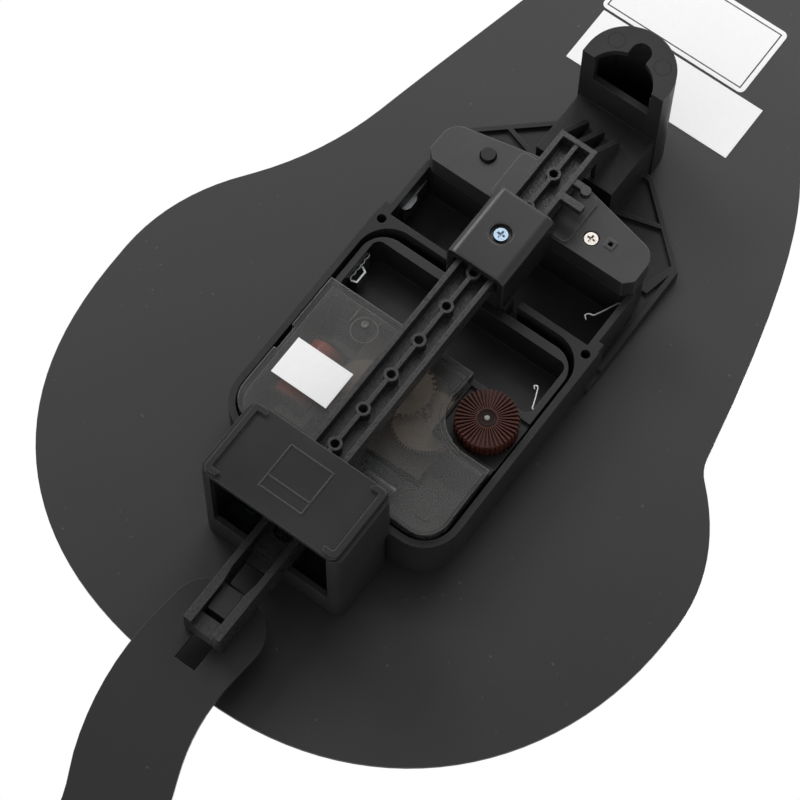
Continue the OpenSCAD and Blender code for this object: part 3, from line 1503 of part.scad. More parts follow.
module bush_nut() {
    color(brass) hung() difference() {
        slab(nut_front, washer_front) translate(shaft) circle(d = bush_d + 4.4, $fn = 6);
        post(shaft, nut_front - 1, 0, bush_d + 2 * seat_fit);
    }
}

module hand(len, w, front, bore) {
    difference() {
        union() {
            post(shaft, front, front + hand_t, hand_hub_d);
            slab(front, front + hand_t) translate(shaft)
                polygon([[-w / 2, 0], [-w * 0.32, len - 3], [0, len], [w * 0.32, len - 3],
                    [w / 2, 0], [w * 0.4, -hand_tail], [-w * 0.4, -hand_tail]]);
        }
        post(shaft, front - 1, front + hand_t + 1, bore + 0.02);
    }
}

module hour_hand() {
    color(paper) hung() translate([0, 0, shaft_z]) rotate([0, 305, 0]) translate([0, 0, -shaft_z])
        hand(hour_len, hour_w, hour_hand_front, pipe_d);
}

module minute_hand() {
    color(paper) hung() translate([0, 0, shaft_z]) rotate([0, 60, 0]) translate([0, 0, -shaft_z])
        hand(minute_len, minute_w, minute_hand_front, arbor_d);
}

module hand_nut() {
    color(steel) hung() difference() {
        union() {
            post(shaft, cap_front + 0.8, minute_hand_front, arbor_d + 2.6);
            post(shaft, cap_front, cap_front + 0.9, arbor_d + 1);
        }
        post(shaft, arbor_front - 0.1, 0, arbor_d + 2 * seat_fit);
    }
}

module upper_label() {
    color(paper) hung() slab(0, sticker_t)
        soft_span(upper_x - upper_w / 2, upper_z, upper_x + upper_w / 2, upper_z + upper_h, sticker_r);
}

module lower_label() {
    color(paper) hung() slab(0, sticker_t)
        span(lower_x - lower_w / 2, lower_z, lower_x + lower_w / 2, lower_z + lower_h);
}

module lot_label() {
    right = move_w / 2 - lot_edge;
    low = move_bottom + lot_rise;
    color(paper) hung() slab(move_depth, move_depth + sticker_t)
        span(right - lot_w, low, right, low + lot_h);
}

face_plate();
hour_markers();
housing_frame();
bay_cover();
bay_cover_screw();
bay_contact_plate();
bay_contact_spring();
slide_rail();
rail_clamp();
clamp_screw();
drive_box();
drive_box_cap();
drive_bobbin();
drive_winding();
drive_circuit_board();
pivot_pin();
pendulum_arm();
pendulum_magnet();
tail_plate();
movement_case();
movement_cover();
cell_contact_plate();
cell_contact_spring();
middle_plate();
clock_circuit_board();
quartz_crystal();
clock_bobbin();
clock_winding();
stator();
rotor();
fifth_wheel();
fourth_wheel();
third_wheel();
centre_wheel();
minute_arbor();
motion_wheel();
hour_wheel();
setting_knob();
shaft_bush();
bush_washer();
bush_nut();
hour_hand();
minute_hand();
hand_nut();
upper_label();
lower_label();
lot_label();
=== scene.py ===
import bpy
import bmesh
import math
from mathutils import Matrix, Vector


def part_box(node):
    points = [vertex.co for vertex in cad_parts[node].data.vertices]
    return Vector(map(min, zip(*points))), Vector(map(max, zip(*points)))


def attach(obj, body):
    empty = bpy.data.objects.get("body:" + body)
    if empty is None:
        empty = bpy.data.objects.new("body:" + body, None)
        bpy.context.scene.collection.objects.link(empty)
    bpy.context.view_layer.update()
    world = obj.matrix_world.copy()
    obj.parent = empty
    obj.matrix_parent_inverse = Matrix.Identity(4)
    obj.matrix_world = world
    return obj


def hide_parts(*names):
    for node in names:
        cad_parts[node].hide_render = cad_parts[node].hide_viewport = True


bpy.context.scene.view_settings.view_transform = "Standard"
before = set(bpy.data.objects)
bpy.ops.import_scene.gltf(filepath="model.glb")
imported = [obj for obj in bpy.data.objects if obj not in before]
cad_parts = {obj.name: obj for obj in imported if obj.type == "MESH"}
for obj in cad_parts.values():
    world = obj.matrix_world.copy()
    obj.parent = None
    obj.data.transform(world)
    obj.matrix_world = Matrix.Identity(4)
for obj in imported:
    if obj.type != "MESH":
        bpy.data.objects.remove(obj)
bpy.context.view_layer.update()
print("frame loaded:", len(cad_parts), "nodes")

# the works are measured in millimetres from the plate's back: x, depth behind the plate, height
hanging = {"wallGap": 34.7, "notchTop": 75.3}


def place(x, depth, height):
    return Vector((x, depth - hanging["wallGap"], height - hanging["notchTop"])) / 1000


# solved from the square edges and round holes of the housing
cameraSet = {
    "spot": (-0.1587, 0.6065, -0.3151),
    "right": (-0.80447, 0.00775, 0.59394),
    "up": (0.54771, 0.39661, 0.73669),
    "forward": (0.22986, -0.91795, 0.32331),
    "lens": 141.39,
    "sensor": 36,
    "near": 0.01,
}


def addCamera(look):
    data = bpy.data.cameras.new("photoCamera")
    data.lens = look["lens"]
    data.sensor_width = look["sensor"]
    data.clip_start = look["near"]
    camera = bpy.data.objects.new("photoCamera", data)
    bpy.context.collection.objects.link(camera)
    right, up, back = Vector(look["right"]), Vector(look["up"]), -Vector(look["forward"])
    turn = Matrix((right, up, back)).transposed().to_4x4()
    camera.matrix_world = Matrix.Translation(look["spot"]) @ turn
    bpy.context.scene.camera = camera


def addMath(nodes, links, operation, *values):
    node = nodes.new("ShaderNodeMath")
    node.operation = operation
    for socket, value in zip(node.inputs, values):
        if isinstance(value, (int, float)):
            socket.default_value = value
        else:
            links.new(value, socket)
    return node.outputs[0]


# soft square lamps: two light the back, one the dial side, and one above keeps the floor pale
lamps = {
    "backKey": {"spot": (0.8, 0.74, 0.26), "target": (0, 0, 0), "size": 0.45, "watts": 6.7},
    "backTop": {"spot": (0.14, 0.6, 0.5), "target": (0, 0, 0.05), "size": 0.4, "watts": 2.9},
    "frontKey": {"spot": (-0.6, -1.2, 0.8), "target": (0, 0, -0.08), "size": 0.9, "watts": 20},
    "overhead": {"spot": (0, -0.4, 2.2), "target": (0, -0.4, 0), "size": 2, "watts": 34},
}


def addLamp(name, look):
    data = bpy.data.lights.new(name, "AREA")
    data.shape = "SQUARE"
    data.size = look["size"]
    data.energy = look["watts"]
    lamp = bpy.data.objects.new(name, data)
    bpy.context.collection.objects.link(lamp)
    spot, target = Vector(look["spot"]), Vector(look["target"])
    lamp.location = spot
    lamp.rotation_euler = (target - spot).to_track_quat("-Z", "Y").to_euler()


# soft fill on the object, and plain white wherever a ray from the camera, gloss or glass goes past it
def addWorld(level):
    world = bpy.data.worlds.new("studio")
    bpy.context.scene.world = world
    world.use_nodes = True
    nodes, links = world.node_tree.nodes, world.node_tree.links
    nodes.clear()
    out = nodes.new("ShaderNodeOutputWorld")
    mix = nodes.new("ShaderNodeMixShader")
    soft = nodes.new("ShaderNodeBackground")
    soft.inputs["Color"].default_value = (1, 1, 1, 1)
    soft.inputs["Strength"].default_value = level
    white = nodes.new("ShaderNodeBackground")
    white.inputs["Color"].default_value = (1, 1, 1, 1)
    white.inputs["Strength"].default_value = 1
    rays = nodes.new("ShaderNodeLightPath").outputs
    seen = addMath(nodes, links, "MAXIMUM", rays["Is Camera Ray"], rays["Is Glossy Ray"])
    seen = addMath(nodes, links, "MAXIMUM", seen, rays["Is Transmission Ray"])
    links.new(seen, mix.inputs["Fac"])
    links.new(soft.outputs[0], mix.inputs[1])
    links.new(white.outputs[0], mix.inputs[2])
    links.new(mix.outputs[0], out.inputs["Surface"])


studio = {
    "worldLevel": 0.2,
    "floorHeight": -0.62,
    "floorSize": 8,
    "floorColour": (0.86, 0.86, 0.85, 1),
    "floorRough": 0.9,
    "floorGlow": 0.5,
}


# half of what the camera sees of the floor is its own white, the other half takes light and shadow
def addFloor(look):
    bpy.ops.mesh.primitive_plane_add(size=look["floorSize"], location=(0, 0, look["floorHeight"]))
    floor = bpy.context.object
    floor.name = "paleFloor"
    mat = bpy.data.materials.new("paleFloor")
    mat.use_nodes = True
    shader = mat.node_tree.nodes["Principled BSDF"]
    shader.inputs["Base Color"].default_value = look["floorColour"]
    shader.inputs["Roughness"].default_value = look["floorRough"]
    nodes, links = mat.node_tree.nodes, mat.node_tree.links
    glow = nodes.new("ShaderNodeEmission")
    glow.inputs["Color"].default_value = (1, 1, 1, 1)
    glow.inputs["Strength"].default_value = 1
    cameraRay = nodes.new("ShaderNodeLightPath").outputs["Is Camera Ray"]
    mix = nodes.new("ShaderNodeMixShader")
    links.new(addMath(nodes, links, "MULTIPLY", cameraRay, look["floorGlow"]), mix.inputs["Fac"])
    links.new(shader.outputs[0], mix.inputs[1])
    links.new(glow.outputs[0], mix.inputs[2])
    links.new(mix.outputs[0], nodes["Material Output"].inputs["Surface"])
    floor.data.materials.append(mat)


addCamera(cameraSet)
addWorld(studio["worldLevel"])
addFloor(studio)
for name, look in lamps.items():
    addLamp(name, look)
print("camera, floor and lamps ready")


def startMaterial(name):
    mat = bpy.data.materials.new(name)
    mat.use_nodes = True
    nodes, links = mat.node_tree.nodes, mat.node_tree.links
    coords = nodes.new("ShaderNodeTexCoord").outputs["Object"]
    return mat, nodes, links, nodes["Principled BSDF"], coords


def addNoise(nodes, links, coords, scale, detail, roughness=0.55):
    noise = nodes.new("ShaderNodeTexNoise")
    noise.inputs["Scale"].default_value = scale
    noise.inputs["Detail"].default_value = detail
    noise.inputs["Roughness"].default_value = roughness
    links.new(coords, noise.inputs["Vector"])
    return noise.outputs["Fac"]


# a ramp between two stops, each a place from 0 to 1 and its tone
def addRamp(nodes, links, value, stops):
    ramp = nodes.new("ShaderNodeValToRGB")
    for step, (spot, tone) in zip(ramp.color_ramp.elements, stops):
        step.position = spot
        step.color = (*tone, 1)
    links.new(value, ramp.inputs["Fac"])
    return ramp.outputs["Color"]


def addRange(nodes, links, value, low, high, newLow, newHigh):
    change = nodes.new("ShaderNodeMapRange")
    for socket, number in (("From Min", low), ("From Max", high), ("To Min", newLow), ("To Max", newHigh)):
        change.inputs[socket].default_value = number
    links.new(value, change.inputs["Value"])
    return change.outputs["Result"]


def addBump(nodes, links, height, strength, depth, normal=None):
    bump = nodes.new("ShaderNodeBump")
    bump.inputs["Strength"].default_value = strength
    bump.inputs["Distance"].default_value = depth
    links.new(height, bump.inputs["Height"])
    if normal:
        links.new(normal, bump.inputs["Normal"])
    return bump.outputs["Normal"]


def addEdge(nodes, radius, samples=4):
    bevel = nodes.new("ShaderNodeBevel")
    bevel.samples = samples
    bevel.inputs["Radius"].default_value = radius
    return bevel.outputs["Normal"]


def shaded(tone, share):
    return tuple(c * share for c in tone)


# the two stops of a ramp from a dark to a light shade of one tone
def shades(tone, look):
    return [(spot, shaded(tone, share)) for spot, share in (look["dark"], look["light"])]


noiseBand = (0.3, 0.7)  # most of a noise's values lie between these


def addSpread(nodes, links, noise, low, high):
    return addRange(nodes, links, noise, *noiseBand, low, high)


def addSwing(nodes, links, noise, middle, span):
    return addSpread(nodes, links, noise, middle - span, middle + span)


# how far a surface point lies on a rounded edge: 0 on the flat, 1 in the middle of the edge
def addEdgeMask(nodes, links, rounded, flatTurn=0.99, edgeTurn=0.85):
    flat = nodes.new("ShaderNodeNewGeometry").outputs["Normal"]
    turn = nodes.new("ShaderNodeVectorMath")
    turn.operation = "DOT_PRODUCT"
    links.new(rounded, turn.inputs[0])
    links.new(flat, turn.inputs[1])
    return addRange(nodes, links, turn.outputs["Value"], flatTurn, edgeTurn, 0, 1)


def addMix(nodes, links, factor, first, second):
    mix = nodes.new("ShaderNodeMix")
    mix.data_type = "RGBA"
    links.new(factor, mix.inputs["Factor"])
    for socket, value in (("A", first), ("B", second)):
        if isinstance(value, tuple):
            mix.inputs[socket].default_value = (*value, 1)
        else:
            links.new(value, mix.inputs[socket])
    return mix.outputs["Result"]


# thin circle marks, left by the mould's ejector pins, as a 0 to 1 mask
def addRings(nodes, links, coords, marks):
    total = None
    for x, height, radius in marks["rings"]:
        shift = nodes.new("ShaderNodeVectorMath")
        shift.operation = "SUBTRACT"
        shift.inputs[1].default_value = place(x, 0, height)
        links.new(coords, shift.inputs[0])
        level = nodes.new("ShaderNodeVectorMath")
        level.operation = "MULTIPLY"
        level.inputs[1].default_value = (1, 0, 1)
        links.new(shift.outputs["Vector"], level.inputs[0])
        reach = nodes.new("ShaderNodeVectorMath")
        reach.operation = "LENGTH"
        links.new(level.outputs["Vector"], reach.inputs[0])
        line = addMath(nodes, links, "COMPARE", reach.outputs["Value"], radius / 1000,
                       marks["line"] / 2000)
        total = addMath(nodes, links, "MAXIMUM", total, line) if total else line
    return total


# the rim share is a painted highlight: how many times lighter than the tone the rounded edges are coloured
mouldedUsual = {
    "cloudScale": 60, "speckle": 0.2, "dark": (0.34, 0.75), "light": (0.66, 1.3), "edge": 0.00025,
    "rim": 2, "markShade": 0.3, "roughSpan": 0.05, "grainDepth": 0.00008, "shine": 0.5,
}


# moulded plastic: spark-eroded grain, faint flow clouds, and rounded edges with a painted highlight (a
# lighter colour along them)
def mouldedPlastic(name, look):
    look = {**mouldedUsual, **look}
    mat, nodes, links, shader, coords = startMaterial(name)
    cloud = addNoise(nodes, links, coords, look["cloudScale"], detail=4)
    grain = addNoise(nodes, links, coords, look["grainScale"], detail=2, roughness=0.6)
    blend = nodes.new("ShaderNodeMix")
    blend.inputs["Factor"].default_value = look["speckle"]
    links.new(cloud, blend.inputs["A"])
    links.new(grain, blend.inputs["B"])
    tone = look["tone"]
    colour = addRamp(nodes, links, blend.outputs["Result"], shades(tone, look))
    rounded = addEdge(nodes, look["edge"])
    edge = addEdgeMask(nodes, links, rounded)
    # painted highlight: the rounded edges are coloured several times lighter than the tone
    colour = addMix(nodes, links, edge, colour, shaded(tone, look["rim"]))
    if "marks" in look:
        rings = addRings(nodes, links, coords, look["marks"])
        colour = addMix(nodes, links, rings, colour, shaded(tone, look["markShade"]))
    links.new(colour, shader.inputs["Base Color"])
    rough = addSwing(nodes, links, grain, look["rough"], look["roughSpan"])
    links.new(rough, shader.inputs["Roughness"])
    bump = addBump(nodes, links, grain, look["grainStrength"], look["grainDepth"], rounded)
    links.new(bump, shader.inputs["Normal"])
    shader.inputs["Specular IOR Level"].default_value = look["shine"]
    return mat


coatUsual = {
    "cloudScale": 18, "dark": (0.25, 0.92), "light": (0.75, 1.08), "dust": (0.05, 0.05, 0.05),
    "speckScale": 700, "specks": [(0.76, (0, 0, 0)), (0.82, (1, 1, 1))], "edge": 0.00025,
    "roughSpan": 0.03, "peelScale": 1500, "peelStrength": 0.2, "peelDepth": 0.00005,
}


# sheet steel with a satin black coat: very fine orange peel, a few dust specks, and a painted highlight (a
# lighter colour) along its rounded edges
def coatedSheet(name, look):
    look = {**coatUsual, **look}
    mat, nodes, links, shader, coords = startMaterial(name)
    cloud = addNoise(nodes, links, coords, look["cloudScale"], detail=5)
    tone = look["tone"]
    colour = addRamp(nodes, links, cloud, shades(tone, look))
    speck = addNoise(nodes, links, coords, look["speckScale"], detail=1)
    colour = addMix(nodes, links, addRamp(nodes, links, speck, look["specks"]), colour, look["dust"])
    rounded = addEdge(nodes, look["edge"])
    edge = addEdgeMask(nodes, links, rounded)
    # painted highlight: the rounded edges are coloured several times lighter than the tone
    colour = addMix(nodes, links, edge, colour, shaded(tone, look["rim"]))
    links.new(colour, shader.inputs["Base Color"])
    peel = addNoise(nodes, links, coords, look["peelScale"], detail=3)
    rough = addSwing(nodes, links, cloud, look["rough"], look["roughSpan"])
    links.new(rough, shader.inputs["Roughness"])
    bump = addBump(nodes, links, peel, look["peelStrength"], look["peelDepth"], rounded)
    links.new(bump, shader.inputs["Normal"])
    shader.inputs["Specular IOR Level"].default_value = look["shine"]
    return mat


paperUsual = {
    "fibreScale": 1400, "dark": (0.3, 0.96), "light": (0.7, 1), "rough": 0.56, "roughSpan": 0.06,
    "fibreStrength": 0.15, "fibreDepth": 0.00004, "ink": (0.02, 0.02, 0.02),
}


# white label stock with paper fibre, and a thin black line set in from its edge where asked
def labelPaper(name, look):
    look = {**paperUsual, **look}
    mat, nodes, links, shader, coords = startMaterial(name)
    fibre = addNoise(nodes, links, coords, look["fibreScale"], detail=5, roughness=0.7)
    colour = addRamp(nodes, links, fibre, shades(look["tone"], look))
    if "border" in look:
        border = look["border"]
        split = nodes.new("ShaderNodeSeparateXYZ")
        links.new(coords, split.inputs[0])
        reach = []
        for axis in "XZ":
            middle, half = border["middle" + axis], border["half" + axis]
            away = addMath(nodes, links, "SUBTRACT", split.outputs[axis], middle)
            away = addMath(nodes, links, "ABSOLUTE", away)
            reach.append(addMath(nodes, links, "SUBTRACT", away, half))
        outside = addMath(nodes, links, "MAXIMUM", *reach)
        line = addMath(nodes, links, "COMPARE", outside, 0, border["line"] / 2)
        colour = addMix(nodes, links, line, colour, look["ink"])
    links.new(colour, shader.inputs["Base Color"])
    rough = addSwing(nodes, links, fibre, look["rough"], look["roughSpan"])
    links.new(rough, shader.inputs["Roughness"])
    bump = addBump(nodes, links, fibre, look["fibreStrength"], look["fibreDepth"])
    links.new(bump, shader.inputs["Normal"])
    return mat


metalUsual = {
    "stretch": (1, 1, 12), "lineScale": 900, "lineStrength": 0.12, "lineDepth": 0.00003,
    "cloudScale": 200, "dark": (0.3, 0.86), "light": (0.7, 1), "polished": -0.06, "dulled": 0.08,
    "edge": 0.0001,
}


# bright, brushed or turned metal with fine lines and a little tarnish
def brightMetal(name, look):
    look = {**metalUsual, **look}
    mat, nodes, links, shader, coords = startMaterial(name)
    stretch = nodes.new("ShaderNodeMapping")
    stretch.inputs["Scale"].default_value = look["stretch"]
    links.new(coords, stretch.inputs["Vector"])
    lines = addNoise(nodes, links, stretch.outputs["Vector"], look["lineScale"], detail=3)
    cloud = addNoise(nodes, links, coords, look["cloudScale"], detail=4)
    colour = addRamp(nodes, links, cloud, shades(look["tone"], look))
    links.new(colour, shader.inputs["Base Color"])
    low, high = look["rough"] + look["polished"], look["rough"] + look["dulled"]
    links.new(addSpread(nodes, links, lines, low, high), shader.inputs["Roughness"])
    shader.inputs["Metallic"].default_value = 1
    rounded = addEdge(nodes, look["edge"])
    bump = addBump(nodes, links, lines, look["lineStrength"], look["lineDepth"], rounded)
    links.new(bump, shader.inputs["Normal"])
    return mat


smokedUsual = {
    "scuffScale": 160, "dark": (0.3, 0.85), "light": (0.7, 1), "scuffStrength": 0.04,
    "scuffDepth": 0.00003, "roughSpan": 0.08, "hazeScale": 45, "hazeSpan": 0.05, "edgeSolid": 0.35,
}


# smoked clear plastic: a see-through tint with a soft polish, a few scuffs, and denser edges with a
# painted highlight (a lighter colour along them)
def smokedClear(name, look):
    look = {**smokedUsual, **look}
    mat, nodes, links, shader, coords = startMaterial(name)
    scuff = addNoise(nodes, links, coords, look["scuffScale"], detail=2, roughness=0.5)
    tone = look["tone"]
    colour = addRamp(nodes, links, scuff, shades(tone, look))
    rounded = addEdge(nodes, look["edge"])
    edge = addEdgeMask(nodes, links, rounded)
    # painted highlight: the rounded edges are coloured several times lighter than the tone
    colour = addMix(nodes, links, edge, colour, shaded(tone, look["rim"]))
    links.new(colour, shader.inputs["Base Color"])
    low, high = look["rough"], look["rough"] + look["roughSpan"]
    links.new(addSpread(nodes, links, scuff, low, high), shader.inputs["Roughness"])
    haze = addNoise(nodes, links, coords, look["hazeScale"], detail=1)
    haze = addSwing(nodes, links, haze, look["solid"], look["hazeSpan"])
    # the edges are made more solid, so their painted highlight shows
    rim = addRange(nodes, links, edge, 0, 1, 0, look["edgeSolid"])
    links.new(addMath(nodes, links, "ADD", haze, rim), shader.inputs["Alpha"])
    shader.inputs["Specular IOR Level"].default_value = look["shine"]
    bump = addBump(nodes, links, scuff, look["scuffStrength"], look["scuffDepth"], rounded)
    links.new(bump, shader.inputs["Normal"])
    return mat


windingUsual = {
    "turns": 900, "waver": 0.6, "dark": (0.1, 0.45), "light": (0.7, 1), "cloudScale": 300,
    "rough": (0.25, 0.4), "metal": 0.25, "enamel": 0.4, "turnStrength": 0.6, "turnDepth": 0.00012,
}


# enamelled copper wire wound in close turns
def woundCopper(name, look):
    look = {**windingUsual, **look}
    mat, nodes, links, shader, coords = startMaterial(name)
    wave = nodes.new("ShaderNodeTexWave")
    wave.bands_direction = look["across"]
    wave.inputs["Scale"].default_value = look["turns"]
    wave.inputs["Distortion"].default_value = look["waver"]
    wave.inputs["Detail"].default_value = 1
    links.new(coords, wave.inputs["Vector"])
    turns = wave.outputs["Fac"]
    links.new(addRamp(nodes, links, turns, shades(look["tone"], look)), shader.inputs["Base Color"])
    cloud = addNoise(nodes, links, coords, look["cloudScale"], detail=3)
    links.new(addSpread(nodes, links, cloud, *look["rough"]), shader.inputs["Roughness"])
    shader.inputs["Metallic"].default_value = look["metal"]
    shader.inputs["Coat Weight"].default_value = look["enamel"]
    bump = addBump(nodes, links, turns, look["turnStrength"], look["turnDepth"])
    links.new(bump, shader.inputs["Normal"])
    return mat


boardUsual = {
    "trackScale": 260, "track": (0.04, 1.9), "mask": (0.08, 1), "weaveScale": 900,
    "rough": (0.25, 0.4), "trackStrength": 0.3, "trackDepth": 0.00004,
}


# fibreglass board: dark solder mask with lighter tracks under it
def boardMask(name, look):
    look = {**boardUsual, **look}
    mat, nodes, links, shader, coords = startMaterial(name)
    tracks = nodes.new("ShaderNodeTexVoronoi")
    tracks.feature = "DISTANCE_TO_EDGE"
    tracks.inputs["Scale"].default_value = look["trackScale"]
    links.new(coords, tracks.inputs["Vector"])
    reach = tracks.outputs["Distance"]
    stops = [(spot, shaded(look["tone"], share)) for spot, share in (look["track"], look["mask"])]
    links.new(addRamp(nodes, links, reach, stops), shader.inputs["Base Color"])
    weave = addNoise(nodes, links, coords, look["weaveScale"], detail=2)
    links.new(addSpread(nodes, links, weave, *look["rough"]), shader.inputs["Roughness"])
    bump = addBump(nodes, links, reach, look["trackStrength"], look["trackDepth"])
    links.new(bump, shader.inputs["Normal"])
    return mat


# the rim share in each finish is a painted highlight: how many times lighter than the tone the rounded
# edges are coloured
finishes = {
    "plateCoat": coatedSheet("plateCoat", {
        "tone": (0.017, 0.017, 0.0175), "rough": 0.44, "shine": 0.23, "rim": 2}),
    "tailCoat": coatedSheet("tailCoat", {
        "tone": (0.012, 0.012, 0.0125), "rough": 0.48, "shine": 0.2, "rim": 6}),
    "frameGrain": mouldedPlastic("frameGrain", {
        "tone": (0.019, 0.019, 0.0195), "grainScale": 2200, "grainStrength": 0.4, "rough": 0.45,
        "roughSpan": 0.08, "shine": 0.12, "speckle": 0.45, "rim": 3.2,
        "marks": {"rings": [(6.2, 72.3, 1.95), (-5.9, 72.6, 1.95)], "line": 0.22}}),
    "blackGrain": mouldedPlastic("blackGrain", {
        "tone": (0.019, 0.019, 0.0195), "grainScale": 2600, "grainStrength": 0.3, "rough": 0.45,
        "roughSpan": 0.06, "shine": 0.12, "speckle": 0.35, "rim": 4}),
    "wingGrain": mouldedPlastic("wingGrain", {
        "tone": (0.022, 0.022, 0.0225), "grainScale": 2600, "grainStrength": 0.25, "rough": 0.42,
        "roughSpan": 0.04, "edge": 0.0004, "shine": 0.26, "speckle": 0.3, "rim": 6}),
    "armGrain": mouldedPlastic("armGrain", {
        "tone": (0.017, 0.017, 0.0175), "grainScale": 1700, "grainStrength": 1, "rough": 0.34,
        "roughSpan": 0.14, "shine": 0.26, "speckle": 0.8, "rim": 2.2}),
    "railGrain": mouldedPlastic("railGrain", {
        "tone": (0.02, 0.02, 0.0205), "grainScale": 1700, "grainStrength": 1, "rough": 0.34,
        "roughSpan": 0.14, "shine": 0.26, "speckle": 0.8, "rim": 2.6}),
    "smoothBlack": mouldedPlastic("smoothBlack", {
        "tone": (0.012, 0.012, 0.0125), "grainScale": 2400, "grainStrength": 0.02, "rough": 0.26,
        "roughSpan": 0.004, "edge": 0.0008, "shine": 0.3, "speckle": 0.05, "rim": 4}),
    "capBlack": mouldedPlastic("capBlack", {
        "tone": (0.014, 0.014, 0.0145), "grainScale": 2600, "grainStrength": 0.05, "rough": 0.34,
        "roughSpan": 0.01, "edge": 0.0003, "shine": 0.17, "speckle": 0.1, "rim": 7}),
    "caseBlack": mouldedPlastic("caseBlack", {
        "tone": (0.015, 0.015, 0.0155), "grainScale": 2400, "grainStrength": 0.02, "rough": 0.34,
        "roughSpan": 0.004, "shine": 0.18, "speckle": 0.05, "rim": 5}),
    "smokedCover": smokedClear("smokedCover", {
        "tone": (0.045, 0.043, 0.042), "rough": 0.32, "solid": 0.4, "shine": 0.55, "edge": 0.0004,
        "rim": 5}),
    # the ridges' tone, lighter than the cover's, is a painted highlight on them
    "ridgeHighlight": smokedClear("ridgeHighlight", {
        "tone": (0.13, 0.125, 0.12), "rough": 0.3, "solid": 0.5, "shine": 0.5, "edge": 0.00005,
        "rim": 1}),
    "knobBrown": mouldedPlastic("knobBrown", {
        "tone": (0.042, 0.012, 0.008), "grainScale": 2600, "grainStrength": 0.2, "rough": 0.34,
        "edge": 0.00012, "shine": 0.16}),
    "knobFace": mouldedPlastic("knobFace", {
        "tone": (0.013, 0.007, 0.006), "grainScale": 1800, "grainStrength": 0.2, "rough": 0.45,
        "shine": 0.06}),
    "axleGrey": mouldedPlastic("axleGrey", {
        "tone": (0.16, 0.165, 0.155), "grainScale": 3000, "grainStrength": 0.1, "rough": 0.35}),
    "whitePrint": mouldedPlastic("whitePrint", {
        "tone": (0.72, 0.72, 0.7), "grainScale": 2400, "grainStrength": 0.15, "rough": 0.45}),
    "naturalPlastic": mouldedPlastic("naturalPlastic", {
        "tone": (0.13, 0.11, 0.09), "grainScale": 2400, "grainStrength": 0.12, "rough": 0.4,
        "edge": 0.00006}),
    "wheelPlastic": mouldedPlastic("wheelPlastic", {
        "tone": (0.42, 0.33, 0.25), "grainScale": 2400, "grainStrength": 0.1, "rough": 0.35,
        "edge": 0.00004}),
    "darkBobbin": mouldedPlastic("darkBobbin", {
        "tone": (0.02, 0.019, 0.018), "grainScale": 2400, "grainStrength": 0.15, "rough": 0.4,
        "shine": 0.2}),
    "brightSteel": brightMetal("brightSteel", {"tone": (0.62, 0.63, 0.64), "rough": 0.24}),
    "contactSteel": brightMetal("contactSteel", {"tone": (0.34, 0.35, 0.36), "rough": 0.3}),
    "coverScrewSteel": brightMetal("coverScrewSteel", {"tone": (0.4, 0.37, 0.34), "rough": 0.28}),
    "dullIron": brightMetal("dullIron", {"tone": (0.08, 0.078, 0.075), "rough": 0.4}),
    "blueZinc": brightMetal("blueZinc", {"tone": (0.26, 0.34, 0.42), "rough": 0.3}),
    "crystalCan": brightMetal("crystalCan", {"tone": (0.16, 0.16, 0.16), "rough": 0.35}),
    "magnetPlate": brightMetal("magnetPlate", {"tone": (0.3, 0.3, 0.31), "rough": 0.24}),
    "turnedBrass": brightMetal("turnedBrass", {
        "tone": (0.66, 0.47, 0.19), "rough": 0.22, "stretch": (1, 12, 1)}),
    "handPaint": mouldedPlastic("handPaint", {
        "tone": (0.74, 0.74, 0.72), "grainScale": 1800, "grainStrength": 0.12, "rough": 0.38}),
    "copperLong": woundCopper("copperLong", {"tone": (0.95, 0.15, 0.06), "across": "Z"}),
    "copperFlat": woundCopper("copperFlat", {"tone": (0.2, 0.06, 0.03), "across": "Y"}),
    "boardGreen": boardMask("boardGreen", {"tone": (0.006, 0.018, 0.011)}),
    "boardDark": boardMask("boardDark", {"tone": (0.004, 0.009, 0.006)}),
    "plainLabel": labelPaper("plainLabel", {"tone": (0.86, 0.86, 0.86)}),
    "borderLabel": labelPaper("borderLabel", {
        "tone": (0.86, 0.86, 0.86),
        "border": {"middleX": place(4.1, 0, 0).x, "middleZ": place(0, 0, 105.5).z,
                   "halfX": 0.0187, "halfZ": 0.0087, "line": 0.00035}}),
}
print("materials ready:", len(finishes))

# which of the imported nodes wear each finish
wear = {
    "plateCoat": ["face_plate"],
    "tailCoat": ["tail_plate"],
    "frameGrain": ["housing_frame"],
    "blackGrain": ["drive_box"],
    "wingGrain": ["bay_cover"],
    "armGrain": ["pendulum_arm"],
    "railGrain": ["slide_rail"],
    "smoothBlack": ["rail_clamp"],
    "capBlack": ["drive_box_cap"],
    "caseBlack": ["movement_case"],
    "smokedCover": ["movement_cover"],
    "knobBrown": ["setting_knob"],
    "whitePrint": ["hour_markers"],
    "naturalPlastic": ["middle_plate"],
    "darkBobbin": ["drive_bobbin", "clock_bobbin"],
    "wheelPlastic": ["rotor", "fifth_wheel", "fourth_wheel", "third_wheel", "motion_wheel", "hour_wheel"],
    "brightSteel": ["pivot_pin", "minute_arbor", "hand_nut"],
    "coverScrewSteel": ["bay_cover_screw"],
    "dullIron": ["stator"],
    "contactSteel": ["bay_contact_plate", "bay_contact_spring", "cell_contact_plate",
                     "cell_contact_spring"],
    "blueZinc": ["clamp_screw"],
    "crystalCan": ["quartz_crystal"],
    "magnetPlate": ["pendulum_magnet"],
    "turnedBrass": ["centre_wheel", "shaft_bush", "bush_washer", "bush_nut"],
    "handPaint": ["hour_hand", "minute_hand"],
    "copperLong": ["clock_winding"],
    "copperFlat": ["drive_winding"],
    "boardGreen": ["clock_circuit_board"],
    "boardDark": ["drive_circuit_board"],
    "plainLabel": ["lower_label", "lot_label"],
    "borderLabel": ["upper_label"],
}


